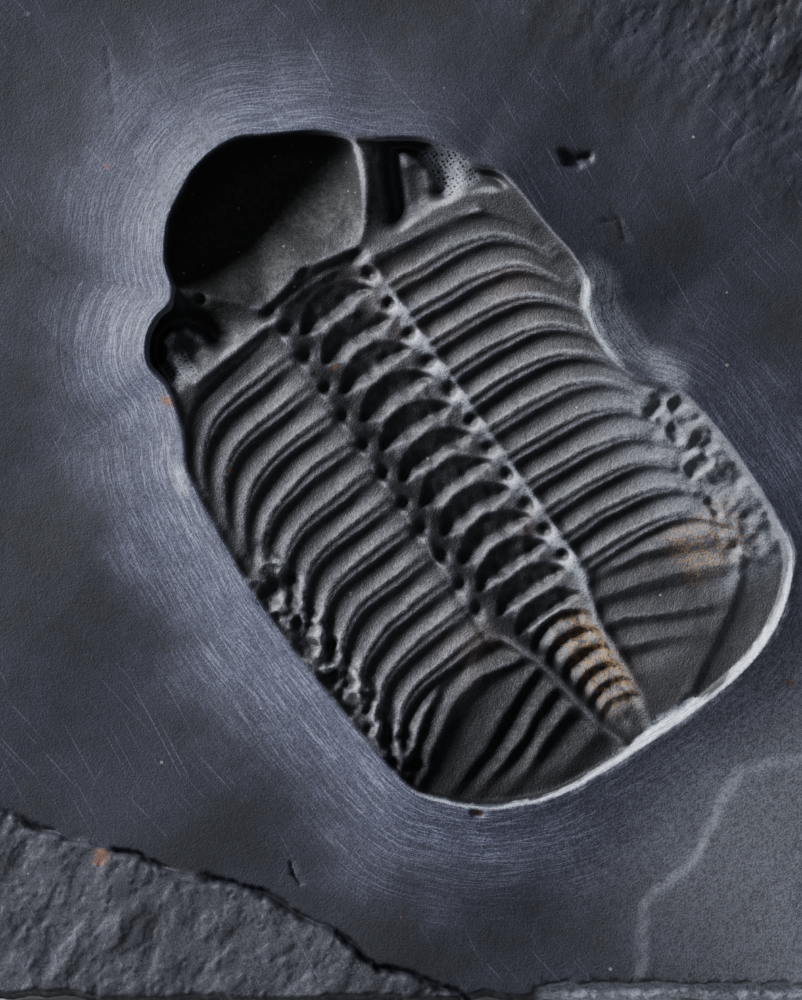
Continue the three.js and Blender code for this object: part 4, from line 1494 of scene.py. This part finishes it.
@dataclass(frozen=True)
class ScrapedSlate:
    """Slate, split by hand and worked with a steel needle: the one finish of the slab.

    Slate splits in dull, silky blue-black sheets, and a needle bruises it to a pale blue-grey.
    The eye reads the streaks that follow the outline, the pale crests, part worn and part painted
    highlight, over hollows darkened with painted shade, and the golden-brown limonite at the tail.
    """

    split_dark: str = "#17181f"
    split_pale: str = "#272833"
    torn: str = "#3d3e44"
    scraped: str = "#464858"
    streak: str = "#8d90a6"
    mould_dark: str = "#222225"
    mould_pale: str = "#39393c"
    # Painted shade for recesses, and for the tail's left half.
    hollow: str = "#131314"
    # Painted shade on the floor of the head's bowl.
    bowl: str = "#282826"
    # Painted highlights on the tubercles of the bowl's floor.
    tubercle_glint: str = "#6c6a60"
    # Pale crests: part needle wear, part painted highlight.
    crest: str = "#a0a1a7"
    tips: str = "#77797f"
    limonite: str = "#a07c4c"
    rust: str = "#6b4a34"
    # Pale rock bruised by the needle and freshly chipped, also painted as a highlight on the lit tail wall,
    # right facet and knob tops.
    bruise_and_highlight: str = "#c3c8d2"
    speck: str = "#8f8e8a"
    # The next two colours paint the eyes' light and shade: dark dots of painted shade in the lens pits and a
    # pale lit net.
    lens_pit_shade: str = "#101012"
    lens_wall: str = "#7f8187"
    roughness: tuple[float, float] = (0.5, 0.7)
    gloss: tuple[float, float] = (0.5, 0.2)
    bump_depth: float = 0.12
    bump_strength: float = 0.5
    lens_gap: float = 0.4
    scratch_turns: tuple[tuple[float, float, float, float], ...] = (
        (47.0, 0.66, 0.45, 0.6),
        (62.0, 0.67, 0.4, 0.55),
        (118.0, 0.71, 0.45, 0.6),
    )

    def build(self) -> bpy.types.Material:
        """Makes the material from the measures on the vertices and noises at real sizes.

        Returns:
            The finished material.
        """
        material = bpy.data.materials.new("scraped_dark_slate")
        material.use_nodes = True
        tree = material.node_tree
        tree.nodes.clear()
        n = Nodes(tree)
        m = Measures.read(n)
        lines = self.straight_lines(n, m)
        follow = n.sum("MAXIMUM", self.strokes(n, m, 0.55), self.strokes(n, m, -0.4))
        dark, tail_shade = self.bowl_shade_share(n, m), self.tail_shade_share(n, m)

        ground = self.ground(n, m, lines, follow)
        mould = self.head(n, m, self.body(n, m, tail_shade), dark)
        colour = n.blend(n.span(m.inside, -0.1, 0.5), ground, mould)
        colour = self.worked(n, m, colour, follow)

        # Grit of 0.2 mm darkens single grains, and with the grain and the strokes gives the bump.
        grit = n.noise(m.place, 5200.0, 2.0, 0.6)
        grains = n.sum("ADD", m.fine, grit)
        colour = n.blend(n.span(grains, 0.8, 1.25, 0.0, 0.6), colour, "#000000")
        scratch = n.sum("MULTIPLY", follow, n.span(m.inside, -1.0, 0.0, 0.25, 0.0))
        grain = n.sum("MULTIPLY", grains, n.span(m.inside, -0.5, 0.5, 0.6, 1.1))
        links = {"Height": n.sum("ADD", scratch, grain), "Strength": self.bump_strength,
                 "Distance": self.bump_depth * MM}
        bump = n.add("ShaderNodeBump", links)

        # The bowl's painted shade and the tail's shaded left half are dull: their fine pits scatter what
        # little light they send back.
        dull = n.sum("MAXIMUM", dark, n.sum("MULTIPLY", tail_shade, 0.9))
        dull = n.sum("MULTIPLY", dull, n.span(m.inside, -0.1, 0.5))
        links = {"Base Color": colour, "Roughness": n.span(m.fine, 0.3, 0.7, *self.roughness),
                 "Normal": bump.outputs[0], "IOR": 1.5,
                 "Specular IOR Level": n.span(dull, 0.0, 1.0, *self.gloss)}
        shader = n.add("ShaderNodeBsdfPrincipled", links)
        n.add("ShaderNodeOutputMaterial", {"Surface": shader.outputs[0]})
        return material

    def ground(self, n: Nodes, m: Measures, lines: Any, follow: Any) -> bpy.types.NodeSocket:
        """Dark split rock, paled by needle strokes near the mould and greyer where it is torn.

        Args:
            n: The material's nodes.
            m: What the mesh gives.
            lines: The straight scratches.
            follow: The strokes beside the outline.

        Returns:
            The colour of the slab outside the mould.
        """
        split = n.blend(n.span(m.mottle, 0.3, 0.7), self.split_dark, self.split_pale)
        streaks = n.sum("MAXIMUM", n.span(follow, 0.5, 0.72), n.sum("MULTIPLY", lines, 0.5))
        scraped = n.blend(n.sum("MULTIPLY", streaks, 0.75), self.scraped, self.streak)

        # The scraped zone is 14 mm wide with a ragged edge, weak on the far side and ahead.
        ragged = n.sum("ADD", m.inside, n.sum("MULTIPLY", n.sum("SUBTRACT", m.mottle, 0.5), 12.0))
        far_side = n.sum("MULTIPLY", n.span(m.across, 4.0, 22.0), n.span(m.along, 34.0, 60.0, 0.92, 0.35))
        ahead = n.span(m.along, -4.0, 12.0, 0.72, 1.0)
        near_side = n.sum("MULTIPLY", n.sum("SUBTRACT", 1.0, far_side), ahead)
        near = n.sum("MULTIPLY", n.span(ragged, -14.5, -0.5), near_side)

        # The layers left standing were torn off and never scraped.
        rock = n.span(n.attribute("rock"), 0.0, 1.0)
        split = n.blend(n.sum("MULTIPLY", rock, n.span(m.mottle, 0.3, 0.6, 0.5, 1.0)), split, self.torn)
        near = n.sum("MULTIPLY", near, n.sum("SUBTRACT", 1.0, n.sum("MULTIPLY", rock, 0.8)))
        ground = n.blend(near, split, scraped)
        behind = n.sum("MULTIPLY", n.span(m.along, 62.0, 84.0, 0.0, 0.65), n.span(m.across, -20.0, 10.0))
        ground = n.blend(behind, ground, self.tips)
        return n.blend(n.sum("MULTIPLY", lines, 0.2), ground, self.streak)

    def body(self, n: Nodes, m: Measures, tail_shade: Any) -> bpy.types.NodeSocket:
        """The mould's dark rock: painted shade in the hollows, crests paled by wear and painted highlight,
        and pale broken tips.

        Args:
            n: The material's nodes.
            m: What the mesh gives.
            tail_shade: The share of the tail's left half that carries painted shade.

        Returns:
            The colour of the thorax and the tail.
        """
        mould = n.blend(n.span(m.mottle, 0.3, 0.72), self.mould_dark, self.mould_pale)
        stain = n.span(n.noise(m.place, 75.0, 2.0, 0.6), 0.58, 0.75)
        stain = n.sum("MULTIPLY", stain, n.span(m.along, 14.0, 26.0))
        mould = n.blend(n.sum("MULTIPLY", stain, 0.3), mould, self.rust)
        # Painted shade: places lower than the mean height round them darken towards the hollow colour.
        mould = n.blend(n.span(m.relief, -0.14, 0.07, 0.85, 0.0), mould, self.hollow)
        # Painted shade over the tail's left half.
        mould = n.blend(tail_shade, mould, self.hollow)

        # Crests stand above the mean height round them and are paled, part by wear and part by painted
        # highlight; on the axis less so.
        on_axis = n.sum("MULTIPLY", n.window(m.across, -5.5, -4.5, 4.6, 5.4), 0.55)
        calm = n.sum("SUBTRACT", 1.0, n.sum("MAXIMUM", on_axis, tail_shade))
        crest = n.sum("MULTIPLY", n.span(m.relief, 0.05, 0.2), n.span(m.fine, 0.35, 0.6, 0.35, 1.0))
        lines = n.sum("MULTIPLY", n.attribute("crest"), 0.9)
        crest = n.sum("MAXIMUM", n.sum("MULTIPLY", crest, 0.8), lines)
        mould = n.blend(n.sum("MULTIPLY", crest, calm), mould, self.crest)

        # The knob tops beside the right pits, paled by wear and by a painted highlight where they face the
        # lamp, the broken tips of the pleurae, and the stains.
        knobs = n.box(m, (19.0, 22.0, 54.0, 58.0, 0.75), (4.6, 5.4, 6.1, 6.8))
        worn = n.sum("MULTIPLY", n.span(m.relief, -0.02, 0.1), n.span(m.mottle, 0.35, 0.6, 0.1, 0.7))
        mould = n.blend(n.sum("MULTIPLY", knobs, worn), mould, self.bruise_and_highlight)
        broken = n.sum("MULTIPLY", n.window(m.along, 36.0, 46.0, 62.0, 68.0), n.span(m.across, 14.0, 20.0))
        mould = n.blend(n.sum("MULTIPLY", broken, n.span(m.fine, 0.3, 0.6, 0.4, 0.9)), mould, self.tips)
        return n.blend(self.limonite_share(n, m), mould, self.limonite)

    def head(self, n: Nodes, m: Measures, under: Any, dark: Any) -> bpy.types.NodeSocket:
        """Adds painted shade on the head's floor with painted highlights on its tubercles, and the painted
        light and shade of the lenses.

        Args:
            n: The material's nodes.
            m: What the mesh gives.
            under: The colour without them.
            dark: The share of painted shade on the head's floor.

        Returns:
            The colour of the whole mould.
        """
        # Painted shade on the bowl's floor, lightest where the lamp reaches the rear and the right wall.
        mould = n.blend(dark, under, self.bowl)
        # Painted highlights where the bowl's tubercles catch the light.
        grains = n.sum("MULTIPLY", self.specks(n, m, 1100.0, 0.7, 0.2), n.span(m.along, 13.0, 11.0))
        mould = n.blend(grains, mould, self.tubercle_glint)
        return self.painted_lens_light(n, m, mould)

    def worked(self, n: Nodes, m: Measures, under: Any, follow: Any) -> bpy.types.NodeSocket:
        """Adds rock bruised white in streaks, with the painted highlight on the lit tail wall and right
        facet, the fresh chip, pale specks and rusty spots.

        Args:
            n: The material's nodes.
            m: What the mesh gives.
            under: The colour without them.
            follow: The strokes beside the outline.

        Returns:
            The colour of the whole slab but for its grit.
        """
        patchy = n.span(m.mottle, 0.3, 0.5, 0.6, 1.0)
        streaky = n.sum("MULTIPLY", n.span(follow, 0.42, 0.6, 0.35, 1.0), patchy)
        # Bruised rock, with the painted highlight on the lit tail wall and right facet.
        bruised = n.sum("MULTIPLY", n.attribute("bruise_and_highlight"), streaky)
        colour = n.blend(n.sum("MAXIMUM", bruised, n.attribute("chip")), under, self.bruise_and_highlight)
        colour = n.blend(self.specks(n, m, 600.0, 0.93, 0.11), colour, self.speck)
        return n.blend(n.span(n.attribute("rust"), 0.3, 0.7, 0.0, 0.85), colour, self.rust)

    def tail_shade_share(self, n: Nodes, m: Measures) -> bpy.types.NodeSocket:
        """The share of the tail's left half, which is darkened with painted shade."""
        return n.sum("MULTIPLY", n.span(m.along, 53.0, 61.0, 0.0, 0.9), n.span(m.across, 1.0, -3.0))

    def bowl_shade_share(self, n: Nodes, m: Measures) -> bpy.types.NodeSocket:
        """The share of painted shade on the head's floor, which fades towards the rear and the right wall,
        where the lamp reaches.

        Args:
            n: The material's nodes.
            m: What the mesh gives.

        Returns:
            The share, from 0 to 1.
        """
        rear = n.span(n.sum("MULTIPLY_ADD", m.across, 0.1, m.along), 11.5, 17.0)
        light = n.sum("MAXIMUM", rear, n.span(m.across, 7.5, 10.5, 0.0, 0.6))
        sides = n.window(m.across, -12.5, -10.5, 9.5, 11.0, 0.96)
        dark = n.sum("MULTIPLY", n.sum("SUBTRACT", 1.0, light), sides)
        return n.sum("MULTIPLY", dark, n.span(m.along, 15.0, 13.5))

    def strokes(self, n: Nodes, m: Measures, slant: float) -> bpy.types.NodeSocket:
        """Needle strokes beside the outline, 6 mm long and 0.15 mm apart, at a slant to it.

        Args:
            n: The material's nodes.
            m: What the mesh gives.
            slant: How far the strokes run off the outline's own way.

        Returns:
            The strokes' strength, about 0.5 on the mean.
        """
        skew = n.sum("ADD", n.sum("MULTIPLY", m.inside, 6.5), n.sum("MULTIPLY", m.round_way, slant))
        spread = n.add("ShaderNodeCombineXYZ", {0: skew, 1: n.sum("MULTIPLY", m.round_way, 0.16)})
        return n.noise(spread.outputs[0], 1.0, 2.0, 0.6)

    def painted_lens_light(self, n: Nodes, m: Measures, under: Any) -> bpy.types.NodeSocket:
        """Painted light and shade on the two eyes: pale walls lit as they face the lamp, with the casts of
        the lenses as a net of dark dots of painted shade.

        Args:
            n: The material's nodes.
            m: What the mesh gives.
            under: The colour without them.

        Returns:
            The colour with the lens walls on it.
        """
        right = n.box(m, (10.6, 11.6, 15.8, 17.0), (15.8, 16.8, 19.6, 20.6))
        left = n.box(m, (13.4, 14.2, 16.0, 16.8), (-17.6, -17.0, -14.6, -14.0))
        place = n.add("ShaderNodeCombineXYZ", {0: m.along, 1: n.sum("MULTIPLY", m.across, 0.9)}).outputs[0]
        links = {"Vector": place, "Scale": 1 / self.lens_gap, "Randomness": 0.35}
        dots = n.add("ShaderNodeTexVoronoi", links).outputs["Distance"]
        wall = n.blend(n.span(dots, 0.2, 0.42), self.lens_pit_shade, self.lens_wall)
        return n.blend(n.sum("MAXIMUM", right, n.sum("MULTIPLY", left, 0.6)), under, wall)

    def straight_lines(self, n: Nodes, m: Measures) -> bpy.types.NodeSocket:
        """Thin straight scratches in three directions: the tops of noise drawn out along each.

        Args:
            n: The material's nodes.
            m: What the mesh gives.

        Returns:
            The scratches' strength.
        """
        found: Any = 0.0
        for turn, density, low, high in self.scratch_turns:
            streak = n.noise(n.stretched(m.place, turn, (60.0, 4600.0)), 1.0, 1.0, 0.5)
            line = n.sum("MULTIPLY", n.span(streak, density, density + 0.08), n.span(m.mottle, low, high))
            found = n.sum("MAXIMUM", found, line)
        return found

    def limonite_share(self, n: Nodes, m: Measures) -> bpy.types.NodeSocket:
        """Where the golden-brown stain lies: the tail's axis and a patch of the right side.

        Args:
            n: The material's nodes.
            m: What the mesh gives.

        Returns:
            The share, broken up by the grain.
        """
        axis = n.box(m, (56.0, 60.0, 65.0, 70.0), (-0.8, 1.2, 3.4, 4.8))
        right = n.box(m, (55.5, 57.5, 61.0, 63.5), (13.5, 16.0, 20.5, 23.5))
        share = n.sum("MAXIMUM", n.sum("MULTIPLY", axis, 0.7), n.sum("MULTIPLY", right, 0.5))
        return n.sum("MULTIPLY", share, n.span(m.fine, 0.42, 0.6))

    def specks(self, n: Nodes, m: Measures, scale: float, least: float, largest: float) -> Any:
        """Scattered pale grains: small spots at the cells whose random value passes the least.

        Args:
            n: The material's nodes.
            m: What the mesh gives.
            scale: Cells a metre.
            least: The random value, from 0 to 1, above which a cell has a grain.
            largest: The largest grain's half width, as a share of its cell.

        Returns:
            The strength of the grains.
        """
        dots = n.add("ShaderNodeTexVoronoi", {"Vector": m.place, "Scale": scale, "Randomness": 1.0})
        some = n.add("ShaderNodeSeparateColor", {0: dots.outputs["Color"]})
        size = n.span(some.outputs[0], least, 1.0, 0.0, largest)
        return n.sum("MULTIPLY", n.sum("LESS_THAN", dots.outputs["Distance"], size), 0.8)


@dataclass(frozen=True)
class FloorPaint:
    """Matt pale paint, rolled on a board: the floor stays plain, with no gloss to catch the eye."""

    colour: str = "#c9c7c2"
    roughness: float = 0.9

    def build(self) -> bpy.types.Material:
        """Makes the material from the paint's colour and roughness.

        Returns:
            The finished material.
        """
        material = bpy.data.materials.new("pale_floor")
        material.use_nodes = True
        shader = material.node_tree.nodes["Principled BSDF"]
        shader.inputs["Base Color"].default_value = linear(self.colour)
        shader.inputs["Roughness"].default_value = self.roughness
        return material


@dataclass(frozen=True)
class Studio:
    """The floor, the lights and the camera."""

    lamp_turn: float = 28.0
    lamp_height: float = 18.0
    lamp_away: float = 0.9
    lamp_width: float = 0.5
    lamp_tall: float = 0.38
    lamp_power: float = 39.0
    fill: float = 0.2
    view_width: float = 80.2
    view_middle: tuple[float, float] = (-1.0, -1.4)
    camera_away: float = 0.9
    floor_half: float = 1.5
    lamp_colour: tuple[float, float, float] = (0.9, 0.92, 1.0)
    fill_colour: tuple[float, float, float, float] = (0.86, 0.9, 1.0, 1.0)

    def floor(self) -> bpy.types.Object:
        """A plain pale floor under the slab.

        Returns:
            The floor, with its paint.
        """
        mesh = bpy.data.meshes.new("floor")
        half = self.floor_half
        corners = [(-half, -half, 0), (half, -half, 0), (half, half, 0), (-half, half, 0)]
        mesh.from_pydata(corners, [], [(0, 1, 2, 3)])
        piece = bpy.data.objects.new("floor", mesh)
        bpy.context.scene.collection.objects.link(piece)
        mesh.materials.append(FloorPaint().build())
        return piece

    def lights(self) -> None:
        """A low cool lamp from the left of the face, and weak even fill from the world."""
        data = bpy.data.lights.new("key", "AREA")
        data.shape = "RECTANGLE"
        data.size, data.size_y = self.lamp_width, self.lamp_tall
        data.energy = self.lamp_power
        data.color = self.lamp_colour
        lamp = bpy.data.objects.new("key", data)
        turn, up = math.radians(180 - self.lamp_turn), math.radians(self.lamp_height)
        towards = Vector((math.cos(turn) * math.cos(up), math.sin(turn) * math.cos(up), math.sin(up)))
        lamp.location = towards * self.lamp_away
        lamp.rotation_euler = towards.to_track_quat("Z", "Y").to_euler()
        bpy.context.scene.collection.objects.link(lamp)
        world = bpy.data.worlds.new("studio")
        world.use_nodes = True
        background = world.node_tree.nodes["Background"]
        background.inputs["Color"].default_value = self.fill_colour
        background.inputs["Strength"].default_value = self.fill
        bpy.context.scene.world = world

    def camera(self) -> None:
        """A long lens straight above the part of the face that the photograph shows."""
        data = bpy.data.cameras.new("camera")
        data.sensor_fit = "HORIZONTAL"
        data.sensor_width = 36.0
        data.lens = 36.0 * self.camera_away / (self.view_width * MM)
        data.clip_start, data.clip_end = 0.01, 20.0
        camera = bpy.data.objects.new("camera", data)
        camera.location = (self.view_middle[0] * MM, self.view_middle[1] * MM, self.camera_away + 0.014)
        bpy.context.scene.collection.objects.link(camera)
        bpy.context.scene.camera = camera


def main() -> None:
    """Builds the slab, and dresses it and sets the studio."""
    logging.basicConfig(level=logging.INFO, format="%(name)s: %(message)s")
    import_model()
    studio = Studio()
    studio.camera()
    studio.lights()
    studio.floor()
    slab = Slab().build()
    slab.data.materials.clear()
    slab.data.materials.append(ScrapedSlate().build())
    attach(slab, "root")
    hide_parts(NODE)
    LOG.info("slate_slab: %d faces", len(slab.data.polygons))
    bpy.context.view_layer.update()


if __name__ == "__main__":
    main()
